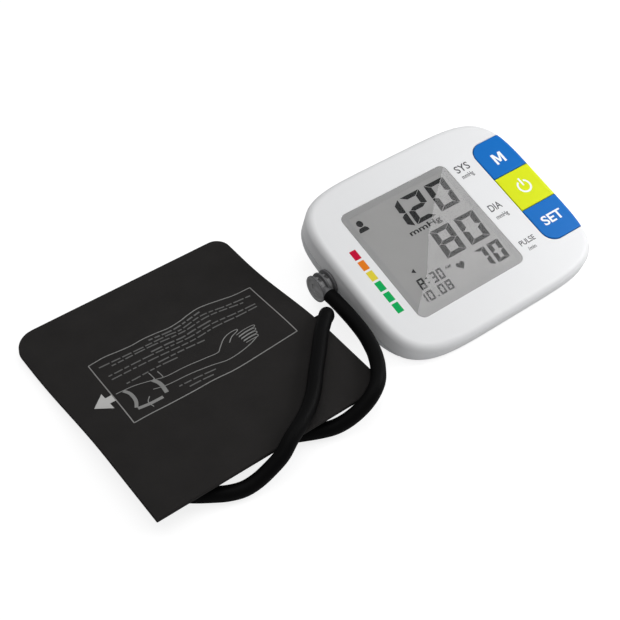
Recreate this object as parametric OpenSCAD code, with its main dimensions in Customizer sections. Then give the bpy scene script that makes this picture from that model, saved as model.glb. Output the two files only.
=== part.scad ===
// Upper arm blood pressure monitor: tilted desk unit, air hose and folded cuff.
// X runs from the cuff to the desk unit, Y to the back, Z up; the table is at Z = 0.

/* [Housing] */
// Width of the housing, left to right
body_w = 145; // [138:1:155]
// Length of the housing, measured along its sloping face
body_l = 117; // [112:1:125]
// Thickness of the slab that carries the face
slab_t = 21; // [20:0.5:23]
// Slope of the face
tilt = 16.4; // [15:0.2:18]
// Height of the middle of the face above the table
face_h = 26.4; // [26:0.2:29]
// Wall of both covers
wall = 2.4; // [2:0.1:2.8]
// Rounding between the face and the side wall
face_r = 4; // [3:0.5:5]
// Depth of the parting line below the face
part_d = 13; // [12:0.5:14]
// Squareness of the outline: a higher value has tighter corners
corner_power = 5; // [4:0.2:6]
// Running gap round moving and inserted pieces
fit_gap = 0.3; // [0.2:0.05:0.4]

/* [Display] */
// Width of the display window
window_w = 76; // [70:0.5:78]
// Length of the display window
window_l = 75; // [68:0.5:76]
// Corner radius of the display window
window_r = 4.5; // [2:0.5:8]
// Thickness of the window pane
window_t = 1.2; // [0.8:0.1:1.4]
// Shift of the window to the right of the middle between the left side and the buttons
window_shift = 0.35; // [-1:0.05:1]
// Height of the window's middle above the middle of the face
window_v = 0.5; // [-0.5:0.1:1]
// Width of the ledge that carries the window pane
ledge = 4; // [3:0.5:5]

/* [Buttons] */
// Width of the button strip, from the right side of the housing
keys_w = 27.7; // [26:0.2:29]
// Length of the button strip
keys_l = 74.6; // [68:0.2:76]
// Middle of the button strip along the face
keys_mid = 1.4; // [0:0.2:3]
// Distance from the strip's right edge to the side of the housing
keys_edge = 1.7; // [1.6:0.1:2]
// Radius of the strip's left corners
keys_r = 8.5; // [4:0.5:10]
// Height that the buttons stand proud of the face
key_proud = 0.3; // [0.1:0.1:0.6]
// Thickness of a button plate
key_t = 2.9; // [2.4:0.1:3.2]
// Travel of a button
key_travel = 0.5; // [0.3:0.05:0.6]

/* [Stand and batteries] */
// Thickness of the base of the housing above its feet
foot_h = 1.5; // [1:0.1:2]
// Radius of a rubber foot
foot_r = 5; // [4:0.25:6]
// Distance from the side of the housing to the side of the stand
stand_inset = 18.5; // [17:0.5:20]
// Distance from the middle of the housing to the front of the stand
stand_ahead = 14; // [12:0.5:15]
// Distance from the middle of the housing to the back of the stand
stand_behind = 59.5; // [59:0.5:61]
// Radius of a battery cell
cell_r = 5.2; // [5:0.05:5.3]
// Length of a battery cell
cell_l = 44.5; // [43.5:0.25:45]
// Thickness of the battery cover
door_t = 2; // [1.8:0.1:2.2]

/* [Air path] */
// Outer diameter of the air hose
hose_d = 8; // [7:0.25:8]
// Radius of the plug's nozzle
nozzle_r = 2.55; // [2:0.05:3]
// Radius of the plug's grip discs
disc_r = 7.8; // [6.5:0.1:8.5]
// Distance between the grip discs
disc_pitch = 4.1; // [3.8:0.1:4.3]
// Thickness of a grip disc
disc_t = 1.3; // [1:0.1:1.6]
// Radius of the pump's motor
pump_r = 6.5; // [6:0.1:6.6]
// Length of the pump's motor
motor_l = 22; // [18:0.5:24]
// Length of the pump's head
head_l = 14; // [11:0.5:14]

/* [Cuff] */
// Width of the cuff
cuff_w = 135; // [130:1:138]
// Length of the folded cuff
cuff_l = 148.4; // [146:0.2:150]
// Thickness of the folded cuff
cuff_t = 6.4; // [6.2:0.1:7]
// Thickness of the outer cloth
outer_cloth_t = 0.8; // [0.6:0.05:0.9]
// Thickness of the inner cloth
inner_cloth_t = 0.6; // [0.4:0.05:0.7]
// Thickness of the empty air bladder
bladder_t = 1.6; // [1.2:0.1:1.7]
// Radius of the free end's left corner
end_r_left = 14; // [10:1:20]
// Radius of the free end's right corner
end_r_right = 9; // [5:1:14]
// Gap between the cuff and the housing
set_gap = 21; // [20:0.5:25]

/* [Hidden] */
$fn = 48;
eps = 0.01;
over_all = 90;

set_w = cuff_w + set_gap + body_w;
mon_x = set_w / 2 - body_w / 2;
mon_y = -17.7;
cuff_left = -set_w / 2;
cuff_right = cuff_left + cuff_w;
cuff_front = -cuff_l / 2;
base_z = foot_h;
seg = 72;
soft_gap = 0.3;
slide_gap = 0.05;

// Housing outline and lofted shells
function outline_at(a, half_w, half_l) = [
    half_w * sign(cos(a)) * pow(abs(cos(a)), 2 / corner_power),
    half_l * sign(sin(a)) * pow(abs(sin(a)), 2 / corner_power)
];
function ring(inset, d) = [
    for (i = [0:seg - 1])
        let (p = outline_at(360 * i / seg, body_w / 2 - inset, body_l / 2 - inset))
        [p[0], p[1], d]
];
module loft(rings) {
    n = len(rings);
    polyhedron(
        points = [for (r = rings) for (p = r) p],
        faces = concat(
            [[for (i = [seg - 1:-1:0]) i]],
            [for (k = [0:n - 2]) for (i = [0:seg - 1]) let (j = (i + 1) % seg)
                [k * seg + i, k * seg + j, (k + 1) * seg + j]],
            [for (k = [0:n - 2]) for (i = [0:seg - 1]) let (j = (i + 1) % seg)
                [k * seg + i, (k + 1) * seg + j, (k + 1) * seg + i]],
            [[for (i = [0:seg - 1]) (n - 1) * seg + i]]
        )
    );
}

function slab_rings(inset, top_r, low_r, top_d, low_d) = concat(
    [for (a = [0:22.5:90]) ring(inset + top_r * (1 - sin(a)), top_d - top_r * (1 - cos(a)))],
    [for (a = [0:30:90]) ring(inset + low_r * (1 - cos(a)), low_d + low_r * (1 - sin(a)))]
);
module slab_solid() {
    loft(slab_rings(0, face_r, face_r, 0, -slab_t));
}
module slab_inside(extra = 0) {
    loft(slab_rings(wall + extra, face_r - wall, face_r - wall, -wall - extra, -slab_t + wall + extra));
}

// Places its children in the plane of the face: x right, y up the slope, z out of the face
module on_face() {
    translate([mon_x, mon_y, face_h]) rotate([tilt, 0, 0]) children();
}
// Places its children in the housing's own upright frame, on the table
module on_table() {
    translate([mon_x, mon_y, 0]) children();
}
module big_box(d0, d1) {
    translate([-body_w, -body_l, d0]) cube([2 * body_w, 2 * body_l, d1 - d0]);
}
module rounded_plate(w, l, t, r) {
    translate([-w / 2 + r, -l / 2, 0]) cube([w - 2 * r, l, t]);
    translate([-w / 2, -l / 2 + r, 0]) cube([w, l - 2 * r, t]);
    for (x = [-1, 1], y = [-1, 1])
        translate([x * (w / 2 - r), y * (l / 2 - r), 0]) cylinder(r = r, h = t);
}

// Places along the face, from the middle of the housing
left = -body_w / 2;
right = body_w / 2;
keys_x = right - keys_w;
window_x = (left + keys_x) / 2 + window_shift;
window_left = window_x - window_w / 2;
window_right = window_x + window_w / 2;
holder_inset = 1.5;
holder_left = window_left + holder_inset;
holder_right = window_right - holder_inset;
boss_r = 3;
key_len = keys_l / 3;
key_rows = [1, 0, -1];
key_x = right - 14.7;

// Screws, in the plane of the face
screw_r = 1.2;
screw_head_r = 2.7;
screw_l = 9;
boss_side = boss_r + 0.3;
screw_spots = [
    [(left + wall + holder_left) / 2, -24], [(window_right + keys_x) / 2, -24],
    [left + 12.5, 42], [right - 12.5, 42]
];
board_spots = [
    [holder_left - boss_side, 20], [holder_left - boss_side, -32],
    [holder_right + boss_side, 33], [holder_right + boss_side, -36]
];
head_seat_d = part_d + 2.6;

// Stand and battery bay, in the housing's upright frame
stand_w = body_w - 2 * stand_inset;
stand_r = 8;
cell_gap = 0.7;
cell_pitch = 2 * cell_r + cell_gap;
bay_w = 4 * cell_pitch + 1.6;
bay_front = 8;
spring_space = 4.1;
bay_back = bay_front + cell_l + spring_space;
bay_wall = 1.6;
bay_side = bay_w / 2 + bay_wall;
tongue = 1.2;
rail_gap = 0.25;
door_w = bay_w + 5;
door_side = door_w / 2 + tongue + rail_gap;
door_z = base_z + door_t;
cell_z = door_z + 0.3 + cell_r;
bay_top = cell_z + cell_r + 0.8;
foot_x = (door_side + stand_w / 2) / 2;
foot_spots = [[left + 20.5, -38], [right - 20.5, -38], [-foot_x, 50], [foot_x, 50]];

// Air path, in the housing's upright frame
air_y = 16.9;
air_z = 15.5;
socket_r = 3.6;
socket_in = 6;
flange = 0.8;
nipple_l = 5;
floor_z = base_z + wall;
stand_inner = stand_w / 2 - wall;
man_half = 4;
man_h = 3.4;
man_x = -stand_inner + man_half + 0.1;
port_x = 2.2;
port_r = 1.1;
port_l = 3;
port_z = air_z - 1.2;
tube_r = 2;

// Front shell with the face
module top_cover() {
    color("whitesmoke")
    difference() {
        union() {
            difference() {
                intersection() {
                    on_face() slab_solid();
                    on_face() big_box(-part_d + 0.15, 5);
                    on_table() big_box(base_z, over_all);
                }
                on_face() slab_inside();
            }
            on_face() {
                for (p = screw_spots)
                    translate([p[0], p[1], -part_d]) cylinder(r = 3.4, h = part_d - wall + eps);
                for (p = board_spots)
                    translate([p[0], p[1], -board_d]) cylinder(r = boss_r, h = board_d - wall + eps);
            }
        }
        on_face() {
            window_cut();
            key_opening();
            for (p = screw_spots)
                translate([p[0], p[1], -part_d - 1]) cylinder(r = screw_r + slide_gap, h = screw_l);
            for (p = board_spots)
                translate([p[0], p[1], -board_d - 1]) cylinder(r = 1.05, h = 6);
        }
        on_table() socket_hole();
    }
}

module window_cut() {
    translate([window_x, window_v, -window_t]) rounded_plate(window_w, window_l, 5, window_r);
    translate([window_x, window_v, -wall - 1])
        rounded_plate(window_w - 2 * ledge, window_l - 2 * ledge, 5, 1.5);
}

// Button strip: bowed right edge parallel to the housing, round left corners
module strip(lo, hi, inset, grow, d0, d1) {
    intersection() {
        loft([ring(inset, d1), ring(inset, d0)]);
        translate([keys_x - grow, lo, d0 - 1]) cube([body_w, hi - lo, d1 - d0 + 2]);
        union() {
            translate([keys_x - grow + keys_r, keys_mid - keys_l / 2 - grow, d0 - 1])
                cube([body_w, keys_l + 2 * grow, d1 - d0 + 2]);
            translate([keys_x - grow, keys_mid - keys_l / 2 + keys_r - grow, d0 - 1])
                cube([body_w, keys_l - 2 * keys_r + 2 * grow, d1 - d0 + 2]);
            for (s = [-1, 1])
                translate([keys_x - grow + keys_r, keys_mid + s * (keys_l / 2 - keys_r + grow), d0 - 1])
                    cylinder(r = keys_r, h = d1 - d0 + 2);
        }
    }
}
module key_opening() {
    depth = key_t - key_proud + key_travel + fit_gap;
    strip(keys_mid - keys_l / 2 - fit_gap, keys_mid + keys_l / 2 + fit_gap,
          keys_edge - fit_gap, fit_gap, -depth, 5);
}
module key_body(row) {
    mid = keys_mid + row * key_len;
    intersection() {
        translate([0, 0, key_proud]) slab_solid();
        strip(mid - key_len / 2 + (row == -1 ? 0 : 0.2), mid + key_len / 2 - (row == 1 ? 0 : 0.2),
              keys_edge, 0, key_proud - key_t, key_proud + 1);
    }
    translate([key_x, mid, stem_d]) cylinder(r = stem_r, h = key_proud - key_t - stem_d + eps);
    for (s = [-1, 1])
        translate([keys_x + 4, mid + s * key_rib_y - key_rib_t / 2, stem_d + key_rib_t / 2])
            cube([7, key_rib_t, key_proud - key_t - stem_d - key_rib_t / 2 + eps]);
}

key_rib_y = key_len * 0.28;
key_rib_t = 1.2;

// Board, switches and display places along the face normal
board_d = 9;
board_t = 1.6;
switch_h = 3;
plunger_top = -board_d + switch_h + 1.3;
plunger_r = 1.7;
plunger_l = 2.8;
stem_r = 2.4;
stem_d = plunger_top + 0.05;
lcd_top = -wall - 0.4;
lcd_t = 2.2;

module memory_button() { color([0.0, 0.43, 0.78]) on_face() key_body(1); }
module power_button() { color([0.84, 0.88, 0.1]) on_face() key_body(0); }
module set_button() { color([0.0, 0.43, 0.78]) on_face() key_body(-1); }

module plunger(row) {
    color("dimgray") on_face()
    translate([key_x, keys_mid + row * key_len, plunger_top - plunger_l])
        cylinder(r = plunger_r, h = plunger_l);
}
module memory_plunger() { plunger(1); }
module power_plunger() { plunger(0); }
module set_plunger() { plunger(-1); }

module key_switches() {
    color("black") on_face()
    for (row = key_rows)
        translate([key_x, keys_mid + row * key_len, -board_d])
            difference() {
                translate([-3, -3, 0]) cube([6, 6, switch_h]);
                translate([0, 0, 0.4]) cylinder(r = plunger_r + slide_gap, h = switch_h);
            }
}

// Clear pane over the display
module display_window() {
    color([0.7, 0.72, 0.72, 0.6]) on_face()
    translate([window_x, window_v, -window_t])
        rounded_plate(window_w - 0.2, window_l - 0.2, window_t, window_r - 0.1);
}

module lcd_panel() {
    w = window_w - 2 * panel_inset;
    l = window_l - 2 * panel_inset;
    color("gray") on_face()
    translate([window_x, window_v, lcd_top - lcd_t])
        difference() {
            translate([-w / 2, -l / 2, 0]) cube([w, l, lcd_t]);
            translate([-w / 2 - 1, -l / 2 - 1, -1]) cube([w + 2, contact_l + 1, 1 + lcd_t / 2]);
        }
}
panel_inset = holder_inset + 1.4;
contact_l = 3.6;

module lcd_holder() {
    w = window_w - 2 * holder_inset;
    l = window_l - 2 * holder_inset;
    h = lcd_top + board_d;
    seat = window_w - 2 * panel_inset + 0.2;
    seat_l = window_l - 2 * panel_inset + 0.2;
    color("whitesmoke") on_face()
    translate([window_x, window_v, -board_d])
        difference() {
            translate([-w / 2, -l / 2, 0]) cube([w, l, h]);
            translate([-seat / 2, -seat_l / 2, h - lcd_t - 0.1]) cube([seat, seat_l, lcd_t + 1]);
            translate([-w / 2 + 6.5, -l / 2 + 6.5, -1]) cube([w - 13, l - 13, h + 2]);
            translate([-connector_l / 2 - 0.2, connector_v - 0.2, -1])
                cube([connector_l + 0.4, connector_t + 0.4, h + 2]);
        }
}
connector_l = window_w - 16;
connector_t = 2;
connector_v = -window_l / 2 + panel_inset + 0.8;
module lcd_connector() {
    color("pink") on_face()
    translate([window_x - connector_l / 2, window_v + connector_v, -board_d])
        cube([connector_l, connector_t, lcd_top - lcd_t / 2 + board_d]);
}

board_front = -40;
board_back = 39;
module circuit_board() {
    board_left = board_spots[0][0] - boss_r;
    color("darkgreen") on_face()
    translate([0, 0, -board_d - board_t])
        difference() {
            union() {
                translate([board_left + 3, board_front, 0])
                    cube([key_x - 3.8 - board_left - 3, board_back - board_front, board_t]);
                translate([board_left, board_front + 6, 0])
                    cube([-board_left, board_back - board_front - 15, board_t]);
                translate([0, board_front + 7, 0])
                    cube([key_x + 3.7, board_back - board_front - 13, board_t]);
            }
            for (p = screw_spots) translate([p[0], p[1], -1]) cylinder(r = 4, h = 4);
            for (p = board_spots) translate([p[0], p[1], -1]) cylinder(r = 1.4, h = 4);
        }
}
module control_chip() {
    color("black") on_face()
    translate([2, -22, -board_d - board_t - 1.2]) cube([10, 10, 1.2]);
}
module buzzer() {
    color("black") on_face()
    translate([26, -8, -board_d - board_t - 2.4])
        difference() {
            cylinder(r = 5, h = 2.4);
            translate([0, 0, -1]) cylinder(r = 0.9, h = 2);
        }
}
module board_screws() {
    color("silver") on_face()
    for (p = board_spots) translate([p[0], p[1], -board_d - board_t]) {
        translate([0, 0, -1.3]) cylinder(r = 2.2, h = 1.3);
        translate([0, 0, -eps]) cylinder(r = 1, h = board_t + 4);
    }
}
module housing_screws() {
    color("silver") on_face()
    for (p = screw_spots) translate([p[0], p[1], -head_seat_d]) {
        difference() {
            translate([0, 0, -1.8]) cylinder(r = screw_head_r, h = 1.8);
            translate([-0.4, -2, -2.4]) cube([0.8, 4, 1.2]);
            translate([-2, -0.4, -2.4]) cube([4, 0.8, 1.2]);
        }
        translate([0, 0, -eps]) cylinder(r = screw_r, h = screw_l);
    }
}

// Rear shell, stand and battery bay
module stand_block(inset, z0, z1) {
    y0 = -stand_ahead + inset;
    y1 = stand_behind - inset;
    translate([0, (y0 + y1) / 2, z0])
        rounded_plate(stand_w - 2 * inset, y1 - y0, z1 - z0, stand_r - inset);
}
module lower_form() {
    on_face() slab_solid();
    intersection() {
        on_table() stand_block(0, base_z, 60);
        on_face() big_box(-60, -slab_t + 4);
    }
}
module lower_void() {
    intersection() {
        on_face() slab_inside();
        on_table() big_box(floor_z, over_all);
    }
    intersection() {
        on_table() stand_block(wall, floor_z, 60);
        on_face() big_box(-60, -slab_t + wall + 0.5);
    }
}
module bottom_cover() {
    color("gainsboro")
    difference() {
        union() {
            difference() {
                intersection() {
                    lower_form();
                    on_face() big_box(-80, -part_d - 0.15);
                    on_table() big_box(base_z, over_all);
                }
                lower_void();
            }
            front_plate();
            lip();
            bay_box();
            screw_posts();
        }
        bay_cuts();
        screw_cuts();
        on_table() {
            socket_hole();
            for (p = foot_spots)
                translate([p[0], p[1], base_z - 1]) cylinder(r = foot_r + 0.1, h = 1.7);
        }
    }
}
module front_plate() {
    intersection() {
        on_face() slab_inside(0.15);
        on_table() big_box(base_z, base_z + wall);
        on_table() translate([-body_w, -body_l, 0]) cube([2 * body_w, body_l, 30]);
    }
}
module lip() {
    intersection() {
        on_face() difference() {
            loft([ring(wall + 0.15, -part_d + 1.8), ring(wall + 0.15, -part_d - 0.4)]);
            translate([0, 0, 1]) loft([ring(wall + 1.2, -part_d + 1.8), ring(wall + 1.2, -part_d - 2.4)]);
        }
        on_table() big_box(base_z, over_all);
    }
}
module bay_box() {
    on_table()
    translate([-bay_w / 2 - bay_wall, bay_front - bay_wall, base_z])
        cube([bay_w + 2 * bay_wall, stand_behind - 1 - bay_front + bay_wall, bay_top + bay_wall - base_z]);
}
module bay_cuts() {
    on_table() {
        translate([-bay_w / 2, bay_front, base_z - 1]) cube([bay_w, bay_back - bay_front, bay_top - base_z + 1]);
        translate([-door_w / 2 - 0.2, bay_front - 2.2, base_z - 1])
            cube([door_w + 0.4, stand_behind - bay_front + 4, door_t + 1.15]);
        translate([-door_side, bay_front - 2.2, base_z + 0.55])
            cube([2 * door_side, stand_behind - bay_front + 4, 1.1]);
    }
}
module screw_posts() {
    intersection() {
        on_face()
            for (p = screw_spots) translate([p[0], p[1], -slab_t]) cylinder(r = 4.6, h = slab_t - part_d);
        on_table() big_box(base_z, over_all);
    }
}
module screw_cuts() {
    on_face()
    for (p = screw_spots) translate([p[0], p[1], 0]) {
        translate([0, 0, -slab_t - 5]) cylinder(r = screw_r + 0.3, h = slab_t);
        translate([0, 0, -head_seat_d - 15]) cylinder(r = screw_head_r + 0.4, h = 15);
    }
}
module socket_hole() {
    translate([-body_w / 2, air_y, air_z]) rotate([0, 90, 0]) {
        translate([0, 0, -2]) cylinder(r = socket_r + 0.1, h = wall + socket_in + 3);
        translate([0, 0, wall]) cylinder(r = socket_r + flange + 0.1, h = 1.7);
    }
}

module rubber_feet() {
    color("dimgray") on_table()
    for (p = foot_spots) translate([p[0], p[1], 0]) {
        cylinder(r = foot_r, h = base_z + 0.7);
    }
}

module battery_cover() {
    color("gainsboro") on_table() {
        difference() {
            union() {
                translate([-door_w / 2, bay_front - 2, base_z])
                    cube([door_w, stand_behind - bay_front + 2, door_t]);
                translate([-door_w / 2 - tongue, bay_front - 2, base_z + 0.7])
                    cube([door_w + 2 * tongue, stand_behind - bay_front - 4, 0.8]);
                for (i = [0:4])
                    translate([-9, stand_behind - 14 + 2.2 * i, base_z - 0.3]) cube([18, 0.9, 0.4]);
            }
            translate([0, stand_behind - 20, base_z - 1]) cylinder(r = 3, h = 1.3);
        }
    }
}
module battery_cells() {
    on_table()
    for (i = [0:3])
        translate([(i - 1.5) * cell_pitch, 0, cell_z]) rotate([-90, 0, 0])
            translate([0, 0, bay_front + 3.3]) {
                color("steelblue") cylinder(r = cell_r, h = cell_l - 1);
                color("silver") translate([0, 0, cell_l - 1 - eps]) cylinder(r = 1.9, h = 1);
            }
}
module battery_springs() {
    color("silver") on_table()
    for (i = [0:3])
        translate([(i - 1.5) * cell_pitch, bay_front, cell_z]) rotate([-90, 0, 0])
            rotate_extrude() {
                translate([0, 0]) square([4, 0.4]);
                for (k = [0:3]) translate([3.4 - 0.3 * k, 0.7 + 0.7 * k]) circle(d = 0.8);
            }
}
module battery_plates() {
    color("silver") on_table()
    for (s = [-1, 1])
        translate([s * cell_pitch - cell_pitch + 0.6, bay_back - 0.5, cell_z - 4])
            cube([2 * cell_pitch - 1.2, 0.4, 8]);
}

// Pump in the right pocket of the stand
sleeve_t = 0.8;
pump_x = (bay_side + stand_inner) / 2;
pump_z = floor_z + 0.1 + pump_r + sleeve_t;
pump_front = 16 + head_l;
pump_port_z = pump_z - 1.5;
module pump_motor() {
    color("silver") on_table()
    translate([pump_x, pump_front, pump_z]) rotate([-90, 0, 0]) {
        cylinder(r = pump_r, h = motor_l);
        translate([0, 0, motor_l - eps]) cylinder(r = pump_r / 3, h = 1.5);
    }
}
module pump_sleeve() {
    sleeve_l = motor_l * 0.64;
    color("black") on_table()
    translate([pump_x, pump_front + 4, pump_z]) rotate([-90, 0, 0])
        difference() {
            cylinder(r = pump_r + sleeve_t, h = sleeve_l);
            translate([0, 0, -1]) cylinder(r = pump_r, h = sleeve_l + 2);
        }
}
module pump_head() {
    color("white") on_table() {
        translate([pump_x, pump_front - head_l, pump_z]) rotate([-90, 0, 0])
            cylinder(r = pump_r - 0.4, h = head_l);
        translate([pump_x, pump_front - head_l - 4, pump_port_z]) rotate([-90, 0, 0])
            cylinder(r = 1.3, h = 5);
    }
}

// Valve and manifold in the left pocket, pressure sensor under the board
valve_w = 12;
valve_l = 16;
valve_h = 10;
valve_y = 31;
valve_left = man_x - 2.5;
valve_low = air_z - valve_h + 3;
module release_valve() {
    color("silver") on_table() {
        translate([valve_left, valve_y, valve_low]) cube([valve_w, valve_l, valve_h]);
        translate([man_x, valve_y - 4, air_z]) rotate([-90, 0, 0]) cylinder(r = port_r, h = 5);
        translate([valve_left + valve_w / 2, valve_y + valve_l - eps, air_z - 2]) rotate([-90, 0, 0])
            cylinder(r = 3, h = 2);
        translate([valve_left + 2, valve_y + 2, floor_z])
            cube([valve_w - 4, valve_l - 4, valve_low - floor_z]);
    }
}
sensor_x = man_x - port_x;
sensor_v = -12;
sensor_w = 6.5;
sensor_side = 2.1;
sensor_h = 4;
sensor_d = -board_d - board_t - sensor_h;
module pressure_sensor() {
    color("white") on_face() {
        translate([sensor_x + sensor_side - sensor_w, sensor_v, sensor_d]) cube([sensor_w, sensor_w, sensor_h]);
        translate([sensor_x, sensor_v + sensor_w - 0.5, sensor_d + sensor_h / 2]) rotate([-90, 0, 0])
            cylinder(r = port_r, h = 4);
    }
}
module air_manifold() {
    color("white") on_table()
    translate([man_x, air_y, air_z]) {
        translate([-man_half, -man_half, -man_h]) cube([2 * man_half, 2 * man_half, 2 * man_h]);
        translate([-man_half - port_l - 1, 0, 0]) rotate([0, 90, 0]) cylinder(r = 1.3, h = port_l + 2);
        for (s = [-1, 1])
            translate([s * port_x, -man_half + 1, port_z - air_z]) rotate([90, 0, 0])
                cylinder(r = port_r, h = port_l + 1);
        translate([0, man_half - 1, 0]) rotate([-90, 0, 0]) cylinder(r = port_r, h = port_l + 1);
        translate([-1.5, -3, floor_z - air_z]) cube([3, 6, air_z - floor_z]);
    }
}
module air_socket() {
    color("lightgray") on_table()
    translate([left, air_y, air_z]) rotate([0, 90, 0])
        difference() {
            union() {
                translate([0, 0, 0.2]) cylinder(r = socket_r, h = wall + socket_in);
                translate([0, 0, wall + 0.15]) cylinder(r = socket_r + flange, h = 1.4);
                translate([0, 0, wall + socket_in]) cylinder(r = 1.3, h = nipple_l);
            }
            translate([0, 0, -1]) cylinder(r = nozzle_r + slide_gap, h = wall + socket_in);
            translate([0, 0, -1]) cylinder(r = 0.7, h = wall + socket_in + nipple_l + 2);
        }
}
module straight_tube(l, bore) {
    difference() {
        cylinder(r = bore + 1, h = l);
        translate([0, 0, -1]) cylinder(r = bore, h = l + 2);
    }
}
module socket_tube() {
    x0 = left + wall + socket_in + 0.3;
    color("ivory") on_table()
    translate([x0, air_y, air_z]) rotate([0, 90, 0]) straight_tube(man_x - man_half - 0.05 - x0, 1.35);
}
module valve_tube() {
    y0 = air_y + man_half + 0.05;
    color("ivory") on_table()
    translate([man_x, y0, air_z]) rotate([-90, 0, 0]) straight_tube(valve_y - 0.05 - y0, port_r + 0.05);
}

// Round tube swept along a list of points
function unit(v) = v / norm(v);
function heading(path, i) = unit(path[min(i + 1, len(path) - 1)] - path[max(i - 1, 0)]);
function side_of(t) = unit(cross([0, 0, 1], t));
module sweep(path, r, sides) {
    n = len(path);
    polyhedron(
        points = [for (i = [0:n - 1]) let (t = heading(path, i), s = side_of(t), u = cross(t, s))
            for (k = [0:sides - 1]) path[i] + r * (cos(360 * k / sides) * s + sin(360 * k / sides) * u)],
        faces = concat(
            [[for (k = [0:sides - 1]) k]],
            [for (i = [0:n - 2]) for (k = [0:sides - 1]) let (m = (k + 1) % sides)
                [i * sides + k, (i + 1) * sides + k, (i + 1) * sides + m]],
            [for (i = [0:n - 2]) for (k = [0:sides - 1]) let (m = (k + 1) % sides)
                [i * sides + k, (i + 1) * sides + m, i * sides + m]],
            [[for (k = [sides - 1:-1:0]) (n - 1) * sides + k]]
        )
    );
}
tube_y = air_y - man_half - port_l;
module pump_tube() {
    x0 = man_x + port_x;
    y1 = pump_front - head_l - 4;
    low = floor_z + 2.5;
    color("ivory") on_table()
    sweep([[x0, tube_y, port_z], [x0, tube_y - 2, port_z], [x0, tube_y - 6, port_z - 1.5],
           [x0, -1, low + 3.8], [x0 + 2.5, -5.5, low + 1], [x0 + 8, -7.2, low], [0, -7.4, low],
           [pump_x - 14, -7, low], [pump_x - 5, -4.5, low + 1], [pump_x - 0.8, 1, pump_port_z - 1],
           [pump_x, y1 - 5, pump_port_z], [pump_x, y1 - 2, pump_port_z], [pump_x, y1, pump_port_z]], tube_r, 8);
}
module sensor_tube() {
    v = sensor_v + sensor_w + 3.5;
    d = sensor_d + sensor_h / 2;
    tip = [v * cos(tilt) - d * sin(tilt), face_h + v * sin(tilt) + d * cos(tilt)];
    color("ivory") on_table()
    sweep([[sensor_x, tube_y, port_z], [sensor_x, tube_y - 2, port_z],
           [sensor_x, tip[0] + 2.4 * cos(tilt), tip[1] + 2.4 * sin(tilt)],
           [sensor_x, tip[0] + 0.1 * cos(tilt), tip[1] + 0.1 * sin(tilt)]], tube_r, 8);
}

// Plug of the cuff hose: nozzle, grip discs and the collar that takes the hose
plug_x = mon_x - body_w / 2 - fit_gap;
plug_y = mon_y + air_y;
hose_start = -9;
module air_plug() {
    mid = hose_path[0][0];
    color("gray")
    difference() {
        union() {
            translate([plug_x, plug_y, air_z]) rotate([0, -90, 0]) {
                for (k = [0:2]) translate([0, 0, k * disc_pitch]) cylinder(r = disc_r, h = disc_t);
                cylinder(r = 5.4, h = 2 * disc_pitch + disc_t);
                translate([0, 0, -wall - socket_in + 1.4]) cylinder(r = nozzle_r, h = wall + socket_in);
            }
            translate([mid, plug_y, air_z]) rotate([90, 0, 0]) cylinder(r = 3.9, h = plug_y - hose_start);
        }
        translate([plug_x - disc_t - 2 * disc_pitch - 0.4, plug_y, air_z]) rotate([0, 90, 0])
            cylinder(r = 3, h = 1.2);
        for (k = [0, 1])
            translate([plug_x - disc_t - k * disc_pitch - (disc_pitch - disc_t), plug_y - 1.6, air_z + 3.4])
                cube([disc_pitch - disc_t, 3.2, 5]);
        translate([plug_x + 3.6, plug_y, air_z]) rotate([0, 90, 0]) seal_groove();
    }
}
seal_d = 0.9;
seal_out = nozzle_r + 0.03;
module seal_groove() {
    difference() {
        cylinder(r = nozzle_r + 1, h = 1.2, center = true);
        cylinder(r = seal_out - seal_d - 0.02, h = 2, center = true);
    }
}
module plug_seal() {
    color("black")
    translate([plug_x + 3.6, plug_y, air_z]) rotate([0, 90, 0])
        rotate_extrude() translate([seal_out - seal_d / 2, 0]) circle(d = seal_d);
}

// Route of the hose from the plug, under the cuff, back over it and to its elbow
hose_path = [
    [-0.6, -9, 15.5], [-0.6, -13, 15.5], [-0.6, -21, 14.5], [-0.2, -30, 12.5], [-0.6, -39.5, 10],
    [-2.8, -49, 7.8], [-6.6, -57.5, 6], [-11.5, -64, 4.8], [-18.5, -69.2, 4.2], [-27.5, -72.3, 4.1],
    [-37, -73, 4.1], [-46, -71.8, 4.1], [-54, -69.9, 4.1], [-64, -66.8, 4.1], [-76, -61.5, 4.1],
    [-88, -55, 4.1], [-100, -47.5, 4.1], [-112, -40.5, 4.1], [-123, -37, 4.1], [-133.5, -37.4, 4.1],
    [-142, -43, 4.1], [-145.5, -52.5, 4.1], [-142.5, -62, 4.1], [-135, -68.2, 4.1], [-126, -70.4, 4.1],
    [-119.5, -72.6, 4.1], [-113.5, -75.2, 4.1], [-106, -77.3, 4.6], [-98.4, -78.4, 6.6], [-91, -78.6, 10],
    [-83.3, -78.3, 14.1], [-75.6, -75.4, 18.1], [-66.6, -71.6, 19.3], [-58, -66.3, 19.3], [-49.6, -59.1, 19.2],
    [-41.4, -50.2, 19.2], [-32.6, -41, 19.1], [-23.1, -30.8, 19], [-17, -25.4, 19]
];
module hose() {
    color([0.04, 0.04, 0.04]) sweep(hose_path, hose_d / 2, 12);
}

// Height of the cuff over the table: its front lies on the hose
raise_h = hose_d + 0.45;
raise_y0 = -30;
raise_y1 = 50;
function raise_at(y) =
    y <= raise_y0 ? raise_h :
    y >= raise_y1 ? 0 :
    raise_h * (0.5 + 0.5 * cos(180 * (y - raise_y0) / (raise_y1 - raise_y0)));
slope_ys = [for (i = [0:12]) raise_y1 + (raise_y0 - raise_y1) * i / 12];

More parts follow.
